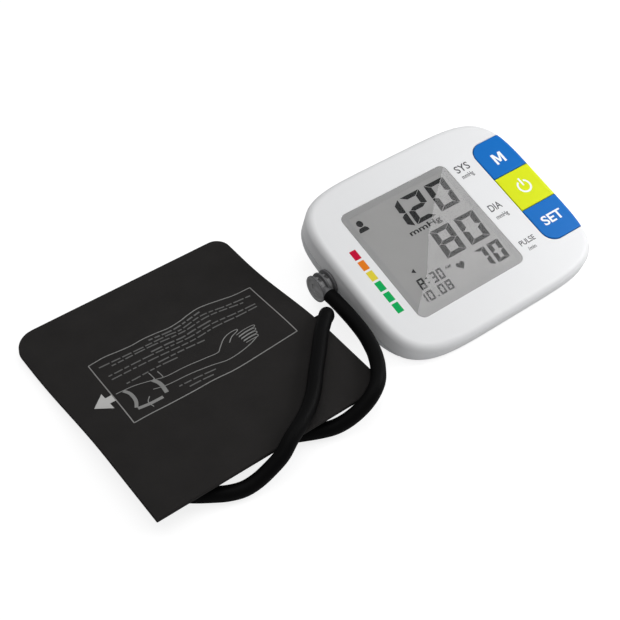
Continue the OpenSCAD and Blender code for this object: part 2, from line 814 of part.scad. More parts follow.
// Folded layer between the heights lo and hi, open at the back, with its fold at the front
module folded(lo, hi, t, front, back) {
    r = (hi - lo) / 2;
    yc = front + r;
    ys = concat([back], slope_ys, [yc]);
    n = len(ys);
    steps = [for (a = [1:7]) 90 + a * 22.5];
    points = concat(
        [for (y = ys) [y, lo + raise_at(y)]],
        [for (a = [7:-1:1]) [yc + r * cos(90 + 22.5 * a), lo + r + raise_h + r * sin(90 + 22.5 * a)]],
        [for (i = [n - 1:-1:0]) [ys[i], hi + raise_at(ys[i])]],
        [for (y = ys) [y, hi - t + raise_at(y)]],
        [for (a = steps) [yc + (r - t) * cos(a), lo + r + raise_h + (r - t) * sin(a)]],
        [for (i = [n - 1:-1:0]) [ys[i], lo + t + raise_at(ys[i])]]
    );
    rotate([90, 0, 90]) linear_extrude(height = cuff_w) polygon(points);
}
module layer(lo, hi, y0, y1, w) {
    ys = concat([y1], [for (y = slope_ys) if (y < y1 && y > y0) y], [y0]);
    n = len(ys);
    rotate([90, 0, 90]) linear_extrude(height = w)
        polygon(concat(
            [for (y = ys) [y, lo + raise_at(y)]],
            [for (i = [n - 1:-1:0]) [ys[i], hi + raise_at(ys[i])]]
        ));
}
// Plan of the cuff: square at the fold, round corners at the free end
module cuff_plan() {
    translate([0, 0, -1]) linear_extrude(height = 60) {
        translate([cuff_left, cuff_front]) square([cuff_w, cuff_l - max(end_r_left, end_r_right)]);
        translate([cuff_left + end_r_left, cuff_front])
            square([cuff_w - end_r_left - end_r_right, cuff_l]);
        translate([cuff_right - end_r_right, cuff_front]) square([end_r_right, cuff_l - end_r_right]);
        translate([cuff_left, cuff_front]) square([end_r_left, cuff_l - end_r_left]);
        translate([cuff_left + end_r_left, cuff_front + cuff_l - end_r_left]) circle(r = end_r_left);
        translate([cuff_right - end_r_right, cuff_front + cuff_l - end_r_right]) circle(r = end_r_right);
    }
}
inner_lo = outer_cloth_t + soft_gap;
bladder_hi = cuff_t - outer_cloth_t - soft_gap;
bladder_lo = bladder_hi - bladder_t;
inner_hi = bladder_lo - soft_gap;
cuff_back = cuff_front + cuff_l;
bladder_side = 10;
hook_side = 18;
hook_back = 18;
hook_l = 40;

module cuff_outer_cloth() {
    color([0.14, 0.13, 0.13]) intersection() {
        translate([cuff_left, 0, 0]) folded(0, cuff_t, outer_cloth_t, cuff_front, cuff_back + 1);
        cuff_plan();
    }
}
module cuff_inner_cloth() {
    color([0.1, 0.1, 0.1]) intersection() {
        translate([cuff_left, 0, 0]) folded(inner_lo, inner_hi, inner_cloth_t, cuff_front + 3, cuff_back + 1);
        cuff_plan();
    }
}
module bladder() {
    color("darkslategray")
    translate([cuff_left + bladder_side, 0, 0])
        layer(bladder_lo, bladder_hi, cuff_front + 14, cuff_back - 22, cuff_w - 2 * bladder_side);
}
module hook_patch() {
    color([0.05, 0.05, 0.05])
    translate([cuff_left + hook_side, 0, 0])
        layer(inner_lo + inner_cloth_t + 0.1, inner_hi - inner_cloth_t - 0.1,
              cuff_back - hook_back - hook_l, cuff_back - hook_back, cuff_w - 2 * hook_side);
}

// Moulded elbow that joins the hose to the bladder at the cuff's right edge
elbow_x = cuff_right + 4.6;
elbow_y = -20;
elbow_top = 19;
elbow_r = hose_d / 2;
module cuff_elbow() {
    mid_z = (bladder_lo + bladder_hi) / 2 + raise_at(elbow_y);
    end = hose_path[len(hose_path) - 1];
    run = [elbow_x, elbow_y, elbow_top] - end;
    color([0.04, 0.04, 0.04]) {
        translate(end) rotate([0, 90, atan2(run[1], run[0])]) cylinder(r = elbow_r, h = norm(run));
        translate([elbow_x, elbow_y, elbow_top]) sphere(r = elbow_r);
        translate([elbow_x, elbow_y, mid_z - 2]) cylinder(r = elbow_r, h = elbow_top - mid_z + 2);
        translate([cuff_right - 9.7, elbow_y - 5, mid_z - 0.4]) cube([elbow_x - cuff_right + 9.7, 10, 0.8]);
    }
}

top_cover();
bottom_cover();
display_window();
lcd_panel();
lcd_holder();
lcd_connector();
circuit_board();
control_chip();
buzzer();
key_switches();
memory_button();
power_button();
set_button();
memory_plunger();
power_plunger();
set_plunger();
pump_motor();
pump_head();
pump_sleeve();
release_valve();
pressure_sensor();
air_manifold();
air_socket();
socket_tube();
pump_tube();
valve_tube();
sensor_tube();
battery_cells();
battery_springs();
battery_plates();
battery_cover();
rubber_feet();
housing_screws();
board_screws();
air_plug();
plug_seal();
hose();
cuff_elbow();
bladder();
cuff_outer_cloth();
cuff_inner_cloth();
hook_patch();
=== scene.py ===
"""Upper arm blood pressure monitor: visual model of the desk unit, its hose and its folded cuff.
Points are worked out in millimetres in the construction model's frame and stored in metres."""

import math

import bmesh
import bpy
import numpy as np
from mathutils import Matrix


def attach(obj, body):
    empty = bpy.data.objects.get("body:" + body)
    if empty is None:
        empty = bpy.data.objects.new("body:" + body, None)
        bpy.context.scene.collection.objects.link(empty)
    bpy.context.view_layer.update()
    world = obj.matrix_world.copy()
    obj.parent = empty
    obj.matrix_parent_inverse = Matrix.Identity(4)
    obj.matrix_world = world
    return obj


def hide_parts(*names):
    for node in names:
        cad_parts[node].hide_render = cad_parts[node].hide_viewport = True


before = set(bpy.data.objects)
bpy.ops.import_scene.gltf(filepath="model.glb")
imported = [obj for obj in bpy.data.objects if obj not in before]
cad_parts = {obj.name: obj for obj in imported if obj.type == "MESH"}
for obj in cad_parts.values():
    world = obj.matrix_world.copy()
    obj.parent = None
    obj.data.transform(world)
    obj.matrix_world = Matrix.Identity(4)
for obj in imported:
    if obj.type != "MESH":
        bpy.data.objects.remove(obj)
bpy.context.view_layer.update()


# Camera
# Stands in front of the cuff, to the left of the desk unit, and looks down at 46 degrees.
# Its lens and place were fitted to the display window's and the cuff's corners.
lens = bpy.data.cameras.new("camera")
lens.lens = 67.87
lens.sensor_width = 36
camera = bpy.data.objects.new("camera", lens)
bpy.context.scene.collection.objects.link(camera)
camera.location = (-0.2763, -0.3540, 0.46095)
camera.rotation_euler = (math.radians(44.02), 0, math.radians(-37.264))
bpy.context.scene.camera = camera


# Hose
# Soft black rubber tube, 8 mm thick and moulded in one length, from the elbow to the plug.
# Swept along a smooth route over the cuff, down in front of it, in a loop under it and up over
# its corner.
def grid(rows, cols, closed=False):
    """Quads over rows x cols points, with the unwrapped row and column of each corner."""
    i, j = np.meshgrid(np.arange(rows - 1), np.arange(cols if closed else cols - 1), indexing="ij")
    i, j = i.ravel(), j.ravel()
    row = np.stack([i, i + 1, i + 1, i], 1)
    col = np.stack([j, j, j + 1, j + 1], 1)
    return row * cols + col % cols, row, col


def mesh_object(name, points, faces, uv=None, sharp=40):
    """Object from points in millimetres; uv holds metres for the corners of the first faces."""
    mesh = bpy.data.meshes.new(name)
    mesh.from_pydata((np.asarray(points) * 0.001).tolist(), [], [list(map(int, f)) for f in faces])
    if uv is not None:
        flat = np.zeros((len(mesh.loops), 2))
        flat[: len(uv)] = uv
        mesh.uv_layers.new(name="UVMap").data.foreach_set("uv", flat.ravel())
    mesh.shade_smooth()
    mesh.set_sharp_from_angle(angle=math.radians(sharp))
    made = bpy.data.objects.new(name, mesh)
    bpy.context.scene.collection.objects.link(made)
    return made


def smooth_path(points, per=8):
    """Catmull-Rom curve: 0.5 (2b + (c-a) t + (2a-5b+4c-d) t^2 + (3b-a-3c+d) t^3) through b and c."""
    p = np.asarray(points, float)
    p = np.vstack([2 * p[0] - p[1], p, 2 * p[-1] - p[-2]])
    a, b, c, d = (p[k : len(p) - 3 + k, None] for k in range(4))
    t = np.linspace(0, 1, per, endpoint=False)[None, :, None]
    q = 2 * b + (c - a) * t + (2 * a - 5 * b + 4 * c - d) * t**2 + (3 * b - a - 3 * c + d) * t**3
    return np.vstack([0.5 * q.reshape(-1, 3), p[-2]])


def tube(name, path, radius, sides=32, across=None):
    """Rings p + r (s cos k + u sin k), s across the path and u = t x s, closed by flat ends."""
    t = np.gradient(path, axis=0)
    t /= np.linalg.norm(t, axis=1)[:, None]
    s = np.cross((0, 0, 1), t) if across is None else np.broadcast_to(across, t.shape)
    s = s / np.linalg.norm(s, axis=1)[:, None]
    u = np.cross(t, s)
    k = np.arange(sides) * 2 * np.pi / sides
    r = np.broadcast_to(radius, len(path))[:, None, None]
    ring = s[:, None] * np.cos(k)[:, None] + u[:, None] * np.sin(k)[:, None]
    faces, row, col = grid(len(path), sides, True)
    along = np.concatenate([[0], np.cumsum(np.linalg.norm(np.diff(path, axis=0), axis=1))])
    uv = np.stack([along[row.ravel()], col.ravel() * 2 * np.pi * np.mean(radius) / sides], 1) / 1000
    ends = [range(sides)[::-1], range((len(path) - 1) * sides, len(path) * sides)]
    made = mesh_object(name, (path[:, None] + r * ring).reshape(-1, 3), [*faces[:, ::-1], *ends], uv)
    outward(made)
    return made


def outward(made):
    """Turns every face of a closed mesh outward."""
    work = bmesh.new()
    work.from_mesh(made.data)
    bmesh.ops.recalc_face_normals(work, faces=work.faces)
    work.to_mesh(made.data)
    work.free()


def add(tree, kind, values=(), **settings):
    """Shader node of this kind; values maps its inputs to constants or to other nodes' sockets."""
    made = tree.nodes.new(kind)
    for key, value in settings.items():
        setattr(made, key, value)
    for key, value in dict(values).items():
        if isinstance(value, bpy.types.NodeSocket):
            tree.links.new(value, made.inputs[key])
        else:
            made.inputs[key].default_value = value
    return made


def new_group(name, inputs, outputs):
    """Node group with float inputs, given with their defaults, and a Vector; returns its ends."""
    tree = bpy.data.node_groups.new(name, "ShaderNodeTree")
    tree.interface.new_socket("Vector", in_out="INPUT", socket_type="NodeSocketVector")
    for key, value in inputs.items():
        socket = tree.interface.new_socket(key, in_out="INPUT", socket_type="NodeSocketFloat")
        socket.default_value = value
    for key, kind in outputs.items():
        tree.interface.new_socket(key, in_out="OUTPUT", socket_type="NodeSocket" + kind)
    return tree, tree.nodes.new("NodeGroupInput").outputs, tree.nodes.new("NodeGroupOutput").inputs


def grain_group():
    """Fine moulded grain: Shade wanders a little round 1, Normal holds the grain's bumps."""
    tree, into, out = new_group(
        "moulded_grain", {"Scale": 3000, "Depth": 0.00002, "Spread": 0.05},
        {"Shade": "Float", "Normal": "Vector"})
    fine = add(tree, "ShaderNodeTexNoise",
               {"Vector": into["Vector"], "Scale": into["Scale"], "Detail": 3.0})
    slow = add(tree, "ShaderNodeTexNoise", {"Vector": into["Vector"], "Scale": 45.0, "Detail": 2.0})
    part = add(tree, "ShaderNodeMath", {0: slow.outputs["Fac"], 1: 0.5}, operation="SUBTRACT")
    wide = add(tree, "ShaderNodeMath", {0: part.outputs[0], 1: into["Spread"], 2: 1.0},
               operation="MULTIPLY_ADD")
    bump = add(tree, "ShaderNodeBump", {"Height": fine.outputs["Fac"], "Distance": into["Depth"],
                                        "Strength": 1.0})
    tree.links.new(wide.outputs[0], out["Shade"])
    tree.links.new(bump.outputs[0], out["Normal"])
    return tree


grain_tree = grain_group()


def finish_of(name, colour, rough, scale=3000, depth=0.00002, spread=0.05, metal=0.0, gloss_level=0.5):
    """Moulded or plated material in this colour: the shared grain shades, roughens and bumps it."""
    made = bpy.data.materials.new(name)
    made.use_nodes = True
    tree = made.node_tree
    shader = tree.nodes["Principled BSDF"]
    place = add(tree, "ShaderNodeTexCoord")
    grain = add(tree, "ShaderNodeGroup", node_tree=grain_tree)
    tree.links.new(place.outputs["Object"], grain.inputs["Vector"])
    for key, value in (("Scale", scale), ("Depth", depth), ("Spread", spread)):
        grain.inputs[key].default_value = value
    tint = add(tree, "ShaderNodeVectorMath", {0: colour, 1: (1, 1, 1)}, operation="MULTIPLY")
    tree.links.new(grain.outputs["Shade"], tint.inputs[1])
    tree.links.new(tint.outputs[0], shader.inputs["Base Color"])
    tree.links.new(grain.outputs["Normal"], shader.inputs["Normal"])
    gloss = add(tree, "ShaderNodeMath", {0: rough, 1: 1.0}, operation="MULTIPLY")
    tree.links.new(grain.outputs["Shade"], gloss.inputs[1])
    tree.links.new(gloss.outputs[0], shader.inputs["Roughness"])
    shader.inputs["Metallic"].default_value = metal
    shader.inputs["IOR"].default_value = 1.5
    shader.inputs["Specular IOR Level"].default_value = gloss_level
    return made


def placed(made, body, slot, *materials, stands_for=()):
    """Gives a finished piece its materials, its body and the CAD nodes it stands for; slot is not used."""
    for m in materials:
        made.data.materials.append(m)
    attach(made, body)
    if stands_for:
        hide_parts(*stands_for)
    return made


elbow_mouth = (-17, -25.4, 19)
hose_r = 4.0
hose_route = [
    elbow_mouth, (-23.1, -30.8, 19), (-32.6, -41, 19.1), (-41.4, -50.2, 19.2), (-49.6, -59.1, 19.2),
    (-58, -66.3, 19.3), (-66.6, -71.6, 19.3), (-75.6, -75.6, 18.1), (-83.3, -78.6, 14.1), (-91, -79.2, 10),
    (-98.4, -79, 6.6), (-105.5, -77.8, 4.6), (-112.5, -75, 4.1), (-119, -71, 4.1), (-126, -66, 4.1),
    (-132.6, -60.2, 4.1), (-137.6, -53, 4.1), (-138.8, -44.6, 4.1), (-135.8, -37, 4.1),
    (-129.4, -32.4, 4.1), (-121.5, -31.6, 4.1), (-113, -34.6, 4.1), (-104, -40.8, 4.1), (-95, -48.4, 4.1),
    (-86, -55.4, 4.1), (-76, -61.5, 4.1), (-64, -67.6, 4.1), (-55.5, -71.8, 4.3), (-48.5, -75.4, 5.9),
    (-41.5, -77.7, 9.2),
    (-34, -78.5, 13.4), (-27, -77.3, 17.2), (-20.4, -73.4, 19.3), (-14.8, -66.6, 19.4),
    (-11.4, -61, 18.9), (-8.4, -55, 17.8), (-4.6, -44.1, 16.6), (-2.4, -32.5, 16), (-1.2, -21.8, 15.6),
    (-0.6, -13, 15.5), (-0.6, -9, 15.5),
]
route = smooth_path(hose_route)
hose = tube("air_hose", route, hose_r)
hose_black = finish_of("hose_rubber", (0.003, 0.003, 0.0032), 0.5, 1800, 0.00003, 0.2, gloss_level=0.05)
placed(hose, "cuff_set", "black_rubber", hose_black, stands_for=["hose"])


# Hose elbow
# Moulded rubber bend that takes the hose, turns down and joins the bladder with a flat tongue.
# One swept bend, flush with the hose that is glued in its end, and the tongue as a thin rounded plate.
def rounded_rect(w, l, r, d, x=0.0, y=0.0, per=10):
    """Ring of a w x l rectangle with corner radius r round (x, y) at height d: corner + r (cos, sin)."""
    a = np.concatenate([np.linspace(k, k + 90, per + 1) for k in (0, 90, 180, 270)])
    sx = np.repeat([1, -1, -1, 1], per + 1)
    sy = np.repeat([1, 1, -1, -1], per + 1)
    a = np.radians(a)
    return np.stack([x + sx * (w / 2 - r) + r * np.cos(a), y + sy * (l / 2 - r) + r * np.sin(a),
                     np.full(len(a), float(d))], 1)


def loft(name, rings, to_world=None, sharp=40):
    """Closed solid through rings of equally many points, joined point by point, with flat ends."""
    n = len(rings[0])
    points = np.concatenate(rings)
    faces = [*grid(len(rings), n, True)[0], range(n), range(len(points) - n, len(points))[::-1]]
    made = mesh_object(name, points if to_world is None else to_world(points), faces, sharp=sharp)
    outward(made)
    return made


def merged(name, parts):
    """One object from several meshes that share a place and a material."""
    points, faces, start = [], [], 0
    for p in parts:
        flat = np.empty(len(p.data.vertices) * 3)
        p.data.vertices.foreach_get("co", flat)
        points.append(flat.reshape(-1, 3) * 1000)
        faces += [[v + start for v in f.vertices] for f in p.data.polygons]
        start += len(p.data.vertices)
        bpy.data.objects.remove(p)
    return mesh_object(name, np.concatenate(points), faces)


elbow_corner = np.array([-10.9, -20.0, 19.0])
elbow_run = np.array([6.1, 5.4, 0]) / math.hypot(6.1, 5.4)
bend_r = 4.4
turn = np.radians(np.linspace(0, 90, 19))[:, None]
bend = (elbow_corner - elbow_run * bend_r - (0, 0, bend_r)
        + bend_r * (np.sin(turn) * elbow_run + np.cos(turn) * np.array([0, 0, 1.0])))
lead = elbow_corner - elbow_run * np.array([8.14, 8.0, 7.8, 7.2, 6.4, 5.4])[:, None]
drop = np.stack([np.full(4, -10.9), np.full(4, -20.0), [13.6, 12.2, 11.2, 10.65]], 1)
bend_path = np.vstack([lead, bend, drop])
bend_radius = np.concatenate([[3.88], np.full(len(bend_path) - 5, hose_r), [3.7, 3.3, 2.8, 2.2]])
elbow = tube("hose_elbow_bend", bend_path, bend_radius, across=np.cross(elbow_run, (0, 0, 1)))
tongue = loft("elbow_tongue", [rounded_rect(14.3, 10, 2.5, z, -18.05, -20) for z in (13.03, 12.23)])
elbow = merged("hose_elbow", [elbow, tongue])
placed(elbow, "cuff_set", "black_rubber", hose_black, stands_for=["cuff_elbow"])


# Cuff outer cloth
# Close woven black nylon, 135 mm wide, folded once at the front, with round corners at the back.
# A folded grid whose two layers meet in a thin sewn rim, given 0.8 mm of thickness.
cuff_left, cuff_right, cuff_front, cuff_back = -150.5, -15.5, -74.2, 74.2
left_round, right_round = 14.0, 9.0
front_raise = 8.45


def raise_at(y):
    """Height of the cuff over the table: front_raise (0.5 + 0.5 cos pi (y + 30) / 80)."""
    t = np.clip((np.asarray(y, float) + 30) / 80, 0, 1)
    return front_raise * (0.5 + 0.5 * np.cos(np.pi * t))


def ripple(x, y):
    """Slack of the cloth: three slow waves, about 0.3 mm high."""
    return (0.16 * np.sin(x / 17 + y / 41 + 0.6) + 0.12 * np.sin(y / 13 - x / 37 + 1.7)
            + 0.08 * np.sin(x / 7.5 + y / 9 + 2.2))


def cuff_limits(y, inset=0.0):
    """Left and right end of the cuff's plan at y: round corners r - sqrt(r^2 - y^2) at the back."""
    y = np.asarray(y, float)
    def cut(r):
        over = np.clip(y - (cuff_back - inset - r), 0, r)
        return r - np.sqrt(np.maximum(r * r - over * over, 0))
    return cuff_left + inset + cut(left_round - inset), cuff_right - inset - cut(right_round - inset)


def rim_of(x, y):
    """How far a point is into the thin sewn rim: (1 - e / 9)^2 at e mm from the nearest edge."""
    lo, hi = cuff_limits(y)
    inside = np.minimum(np.minimum(x - lo, hi - x), np.minimum(cuff_back - y, y - cuff_front))
    return np.clip(1 - inside / 9, 0, 1) ** 2


def cuff_top(x, y):
    """Height of the cuff's upper side: 6.4 mm over its raise, half a millimetre less at the rim."""
    rim = rim_of(x, y)
    return 6.4 + raise_at(y) + 0.35 * ripple(x, y) * (1 - rim) - 0.5 * rim


def spaced(start, stop, count):
    """Places from start to stop that lie closest together at both ends: cosine steps."""
    return start + (stop - start) * (0.5 - 0.5 * np.cos(np.linspace(0, np.pi, count)))


def folded_sheet(name, low, high, front, inset, cols=120, rows=120, wave=0.0, lift=0.0, dip=0.0):
    """Middle surface of a folded layer: back edge, lower layer, half-round fold, upper layer.
    The rim lifts the lower layer and dips the upper one, so that both meet in a thin edge."""
    r = (high - dip - low - lift) / 2
    yc = front + r
    y_run = spaced(cuff_back - inset, yc, rows)
    turn = np.linspace(0, np.pi, 10)[1:-1]
    y = np.concatenate([y_run, yc - r * np.sin(turn), y_run[::-1]])[:, None]
    upper = np.concatenate([np.zeros(rows), 0.5 - 0.5 * np.cos(turn), np.ones(rows)])[:, None]
    lo, hi = cuff_limits(np.maximum(y, -20), inset)
    x = lo + (hi - lo) * spaced(0, 1, cols)
    y = np.broadcast_to(y, x.shape)
    rim = rim_of(x, np.maximum(y, yc - r)) if lift else np.zeros(x.shape)
    under = low + lift * rim
    over = high - dip * rim + wave * ripple(x, y) * (1 - rim)
    z = under + (over - under) * upper + raise_at(np.maximum(y, yc))
    points = np.stack([x, y, z], -1).reshape(-1, 3)
    faces, row, _ = grid(len(x), cols)
    step = np.concatenate([[0], np.cumsum(np.hypot(np.diff(y[:, 0]), np.diff(z[:, cols // 2])))])
    uv = np.stack([points[faces.ravel(), 0], step[row.ravel()]], 1) / 1000
    return mesh_object(name, points, faces, uv, sharp=180)


def weave_group():
    """Plain weave over metres: crossing threads as |sin| waves that a checker picks, with slow fading."""
    tree, into, out = new_group(
        "plain_weave", {"Threads": 2600, "Depth": 0.00006}, {"Shade": "Float", "Normal": "Vector"})
    sized = add(tree, "ShaderNodeVectorMath", {0: into["Vector"]}, operation="SCALE")
    tree.links.new(into["Threads"], sized.inputs["Scale"])
    parts = add(tree, "ShaderNodeSeparateXYZ", {0: sized.outputs[0]})
    waves = []
    for axis in "XY":
        turn = add(tree, "ShaderNodeMath", {0: parts.outputs[axis], 1: math.pi}, operation="MULTIPLY")
        sine = add(tree, "ShaderNodeMath", {0: turn.outputs[0]}, operation="SINE")
        size = add(tree, "ShaderNodeMath", {0: sine.outputs[0]}, operation="ABSOLUTE")
        waves.append(size.outputs[0])
    check = add(tree, "ShaderNodeTexChecker", {"Vector": sized.outputs[0], "Scale": 1.0})
    mixed = add(tree, "ShaderNodeMix", {0: check.outputs["Fac"], 2: waves[0], 3: waves[1]})
    bump = add(tree, "ShaderNodeBump",
               {"Height": mixed.outputs[0], "Distance": into["Depth"], "Strength": 1.0})
    slow = add(tree, "ShaderNodeTexNoise", {"Vector": into["Vector"], "Scale": 60.0, "Detail": 3.0})
    shade = add(tree, "ShaderNodeMath", {0: mixed.outputs[0], 1: 0.5, 2: 0.5}, operation="MULTIPLY_ADD")
    fade = add(tree, "ShaderNodeMath", {0: slow.outputs["Fac"], 1: 0.5, 2: 0.75},
               operation="MULTIPLY_ADD")
    full = add(tree, "ShaderNodeMath", {0: shade.outputs[0], 1: fade.outputs[0]}, operation="MULTIPLY")
    tree.links.new(full.outputs[0], out["Shade"])
    tree.links.new(bump.outputs[0], out["Normal"])
    return tree


weave_tree = weave_group()


def cloth(name, colour, rough, threads, depth, sheen):
    """Woven cloth in this colour over the piece's own UV, with the shared weave."""
    made = bpy.data.materials.new(name)
    made.use_nodes = True
    tree = made.node_tree
    shader = tree.nodes["Principled BSDF"]
    place = add(tree, "ShaderNodeUVMap", uv_map="UVMap")
    weave = add(tree, "ShaderNodeGroup", node_tree=weave_tree)
    tree.links.new(place.outputs[0], weave.inputs["Vector"])
    weave.inputs["Threads"].default_value = threads
    weave.inputs["Depth"].default_value = depth
    tint = add(tree, "ShaderNodeVectorMath", {0: colour}, operation="MULTIPLY")
    tree.links.new(weave.outputs["Shade"], tint.inputs[1])
    tree.links.new(tint.outputs[0], shader.inputs["Base Color"])
    tree.links.new(weave.outputs["Normal"], shader.inputs["Normal"])
    shader.inputs["Roughness"].default_value = rough
    shader.inputs["Sheen Weight"].default_value = sheen
    shader.inputs["Sheen Roughness"].default_value = 0.4
    shader.inputs["Specular IOR Level"].default_value = 0.15
    return made


def thicken(made, thickness):
    """Gives a middle surface its thickness, half to each side."""
    shell = made.modifiers.new("thickness", "SOLIDIFY")
    shell.thickness = thickness
    shell.offset = 0
    return made


cloth_half = 0.4
outer = thicken(folded_sheet("cuff_cloth", cloth_half, 6.0, cuff_front + cloth_half, cloth_half,
                             wave=0.35, lift=4.1, dip=0.5), 2 * cloth_half / 1000)
nylon = cloth("cuff_nylon", (0.0195, 0.018, 0.0175), 0.75, 1900, 0.00005, 0.02)
placed(outer, "cuff_set", "cuff_cloth", nylon, stands_for=["cuff_outer_cloth"])


# Cuff inner cloth
# Brushed lining that follows the fold inside the outer cloth.
# The same folded grid without the rim, smaller all round, 0.6 mm thick.
inner = thicken(folded_sheet("cuff_lining", 1.4, 3.1, cuff_front + 11, 8, cols=60, rows=70), 0.0006)
lining = cloth("cuff_brushed_lining", (0.016, 0.016, 0.017), 0.9, 1200, 0.0001, 0.3)
placed(inner, "cuff_set", "cuff_lining", lining, stands_for=["cuff_inner_cloth"])


# Bladder
# Empty air bag between the outer cloth and the lining, welded from soft film.
# A flat pad that follows the cuff's raise, with thin welded edges.
def layer_sheet(name, low, high, x0, x1, y0, y1, rim=0.0):
    """Pad between two heights over the raise, thinner over the outer 4 mm where it has a rim."""
    cols, rows = 60, 80
    x, y = np.meshgrid(np.linspace(x0, x1, cols), np.linspace(y0, y1, rows))
    edge = np.minimum(np.minimum(x - x0, x1 - x), np.minimum(y - y0, y1 - y))
    half = (high - low) / 2 * (1 - rim * np.clip(1 - edge / 4, 0, 1))
    mid = (high + low) / 2 + raise_at(y)
    top = np.stack([x, y, mid + half], -1).reshape(-1, 3)
    under = np.stack([x, y, mid - half], -1).reshape(-1, 3)
    faces = grid(rows, cols)[0]
    n = len(top)
    ring = np.concatenate([np.arange(cols), np.arange(2 * cols - 1, n, cols),
                           np.arange(n - 2, n - cols - 1, -1), np.arange(n - 2 * cols, 0, -cols)])
    sides = np.stack([ring, np.roll(ring, -1), np.roll(ring, -1) + n, ring + n], 1)
    every = np.concatenate([faces, faces[:, ::-1] + n, sides])
    points = np.concatenate([top, under])
    made = mesh_object(name, points, every, points[every.ravel(), :2] / 1000)
    outward(made)
    return made


bladder = layer_sheet("air_bladder", 3.7, 5.3, cuff_left + 10, cuff_right - 10, -60.2, 52.2, rim=0.6)
film = finish_of("bladder_rubber", (0.03, 0.03, 0.032), 0.45, 900, 0.00005, 0.3)
placed(bladder, "cuff_set", "bladder_film", film, stands_for=["bladder"])


# Hook patch
# Stiff patch of small hooks sewn on the lining, which holds the wrapped cuff.
# A thin pad with a coarse weave for its rows of hooks.
hooks = layer_sheet("cuff_hook_patch", 1.8, 2.7, cuff_left + 18, cuff_right - 18, 16.2, 56.2)
hook_cloth = cloth("cuff_hooks", (0.012, 0.012, 0.012), 0.8, 700, 0.0003, 0.1)
placed(hooks, "cuff_set", "cuff_lining", hook_cloth, stands_for=["hook_patch"])


# Cuff print
# Pale grey screen print on the outer cloth: a wavy frame, an arrow, an arm and rows of dashes.
# Narrow strips laid 0.06 mm over the cuff's upper side; the dashes stand where words would be.
def over_cuff(p, up=0.06):
    """Points just over the cuff's upper side above places (x, y)."""
    return np.column_stack([p, cuff_top(p[:, 0], p[:, 1]) + up])


def strip_print(path, width):
    """Two edges of a strip along a smooth line through these places: p +- n width / 2."""
    p = smooth_path(np.column_stack([path, np.zeros(len(path))]), 10)[:, :2]
    t = np.gradient(p, axis=0)
    t /= np.maximum(np.linalg.norm(t, axis=1), 1e-9)[:, None]
    side = np.stack([-t[:, 1], t[:, 0]], 1) * width / 2
    return over_cuff(np.stack([p + side, p - side], 1).reshape(-1, 2)), grid(len(p), 2)[0]


def print_layer(name, pieces, colour):
    """One printed mesh from (points, faces) pieces."""
    starts = np.cumsum([0] + [len(p) for p, f in pieces])
    faces = [list(np.asarray(f) + n) for (p, fs), n in zip(pieces, starts) for f in fs]
    made = mesh_object(name, np.concatenate([p for p, f in pieces]), faces)
    dry_ink = finish_of(name + "_ink", colour, 0.8, 2600, 0.00004, 0.4, gloss_level=0.1)
    placed(made, "cuff_set", "cuff_cloth", dry_ink)


def word_dashes(path, width, dice):
    """Strips of 3 to 8 mm with 1.1 mm between them, along a smooth line: a row of words."""
    p = smooth_path(np.column_stack([path, np.zeros(len(path))]), 20)[:, :2]
    run = np.concatenate([[0], np.cumsum(np.linalg.norm(np.diff(p, axis=0), axis=1))])
    ends = np.cumsum(dice.uniform(3, 8, 40))
    ends = ends[ends < run[-1] - 2]
    a, b = np.concatenate([[0], ends]), np.concatenate([ends - 1.1, [run[-1]]])
    at = np.linspace(a, b, 4, axis=1)
    return [strip_print(np.stack([np.interp(k, run, p[:, 0]), np.interp(k, run, p[:, 1])], 1), width)
            for k in at]


frame_top = [(-126.4, 31.7), (-116.9, 32.3), (-109.3, 31.4), (-101.7, 30.7), (-94.1, 31), (-86.5, 30.4),
             (-79, 29.4), (-71.4, 30.2), (-65, 31.7), (-58.7, 32.6), (-52.4, 31.9), (-44.8, 30.2),
             (-37.2, 28.6), (-27.2, 28.1)]
frame_low = [(-129.2, -19.6), (-120, -19.6), (-108, -20.1), (-95, -20.4), (-83, -20.4), (-70, -21.2),
             (-52, -20.2), (-37, -19.2), (-29.6, -18.7)]
frame_left = [frame_top[0], (-127.8, 6), frame_low[0]]
frame_right = [frame_top[-1], (-28.4, 5), frame_low[-1]]
drawn = [strip_print(line, 0.6) for line in (frame_top, frame_low, frame_left, frame_right)]
arm_upper = [(-126, 3.8), (-116, 2.8), (-106, -0.4), (-100, -2.3), (-89, -2.8), (-78, -4.2), (-70.5, -5),
             (-67, -2.2), (-62, 2), (-57, 3.8), (-52.8, 3.6), (-53.6, 2.2), (-58, 0.4), (-61.5, -2.6)]
arm_lower = [(-110, -6), (-103, -8), (-90, -9), (-78, -11), (-70, -13), (-62, -12.6), (-54, -10.8),
             (-48.4, -8.6)]
arm_marks = [[(-114, -9), (-116.5, -12), (-116, -16.5)], [(-101.5, 4), (-101.4, 0), (-101.6, -2)],
             [(-105.5, 6), (-105.4, 2), (-105.5, 0)]]
drawn += [strip_print(line, 0.5) for line in (arm_upper, arm_lower, *arm_marks)]
for k in range(4):
    tip = (-44.4 - 0.9 * k, 0.6 - 2.5 * k)
    finger = [(-55.5, -0.2 - 2.2 * k), (-50, 0.8 - 2.4 * k), tip, (tip[0] - 0.3, tip[1] - 1.5),
              (-50, -1.1 - 2.4 * k), (-55, -1.9 - 2.2 * k)]
    drawn.append(strip_print(finger, 0.45))
drawn += [strip_print([(-122, 3.2), (-120.4, -1), (-120.8, -7), (-123, -11.5)], 1.9),
          strip_print([(-106.8, 0.2), (-105.2, -5), (-105.9, -12.4)], 2.2),
          strip_print([(-122.8, -12.6), (-116, -13.6), (-109, -13.8)], 1.9)]
print_layer("cuff_print_lines", drawn, (0.24, 0.24, 0.235))
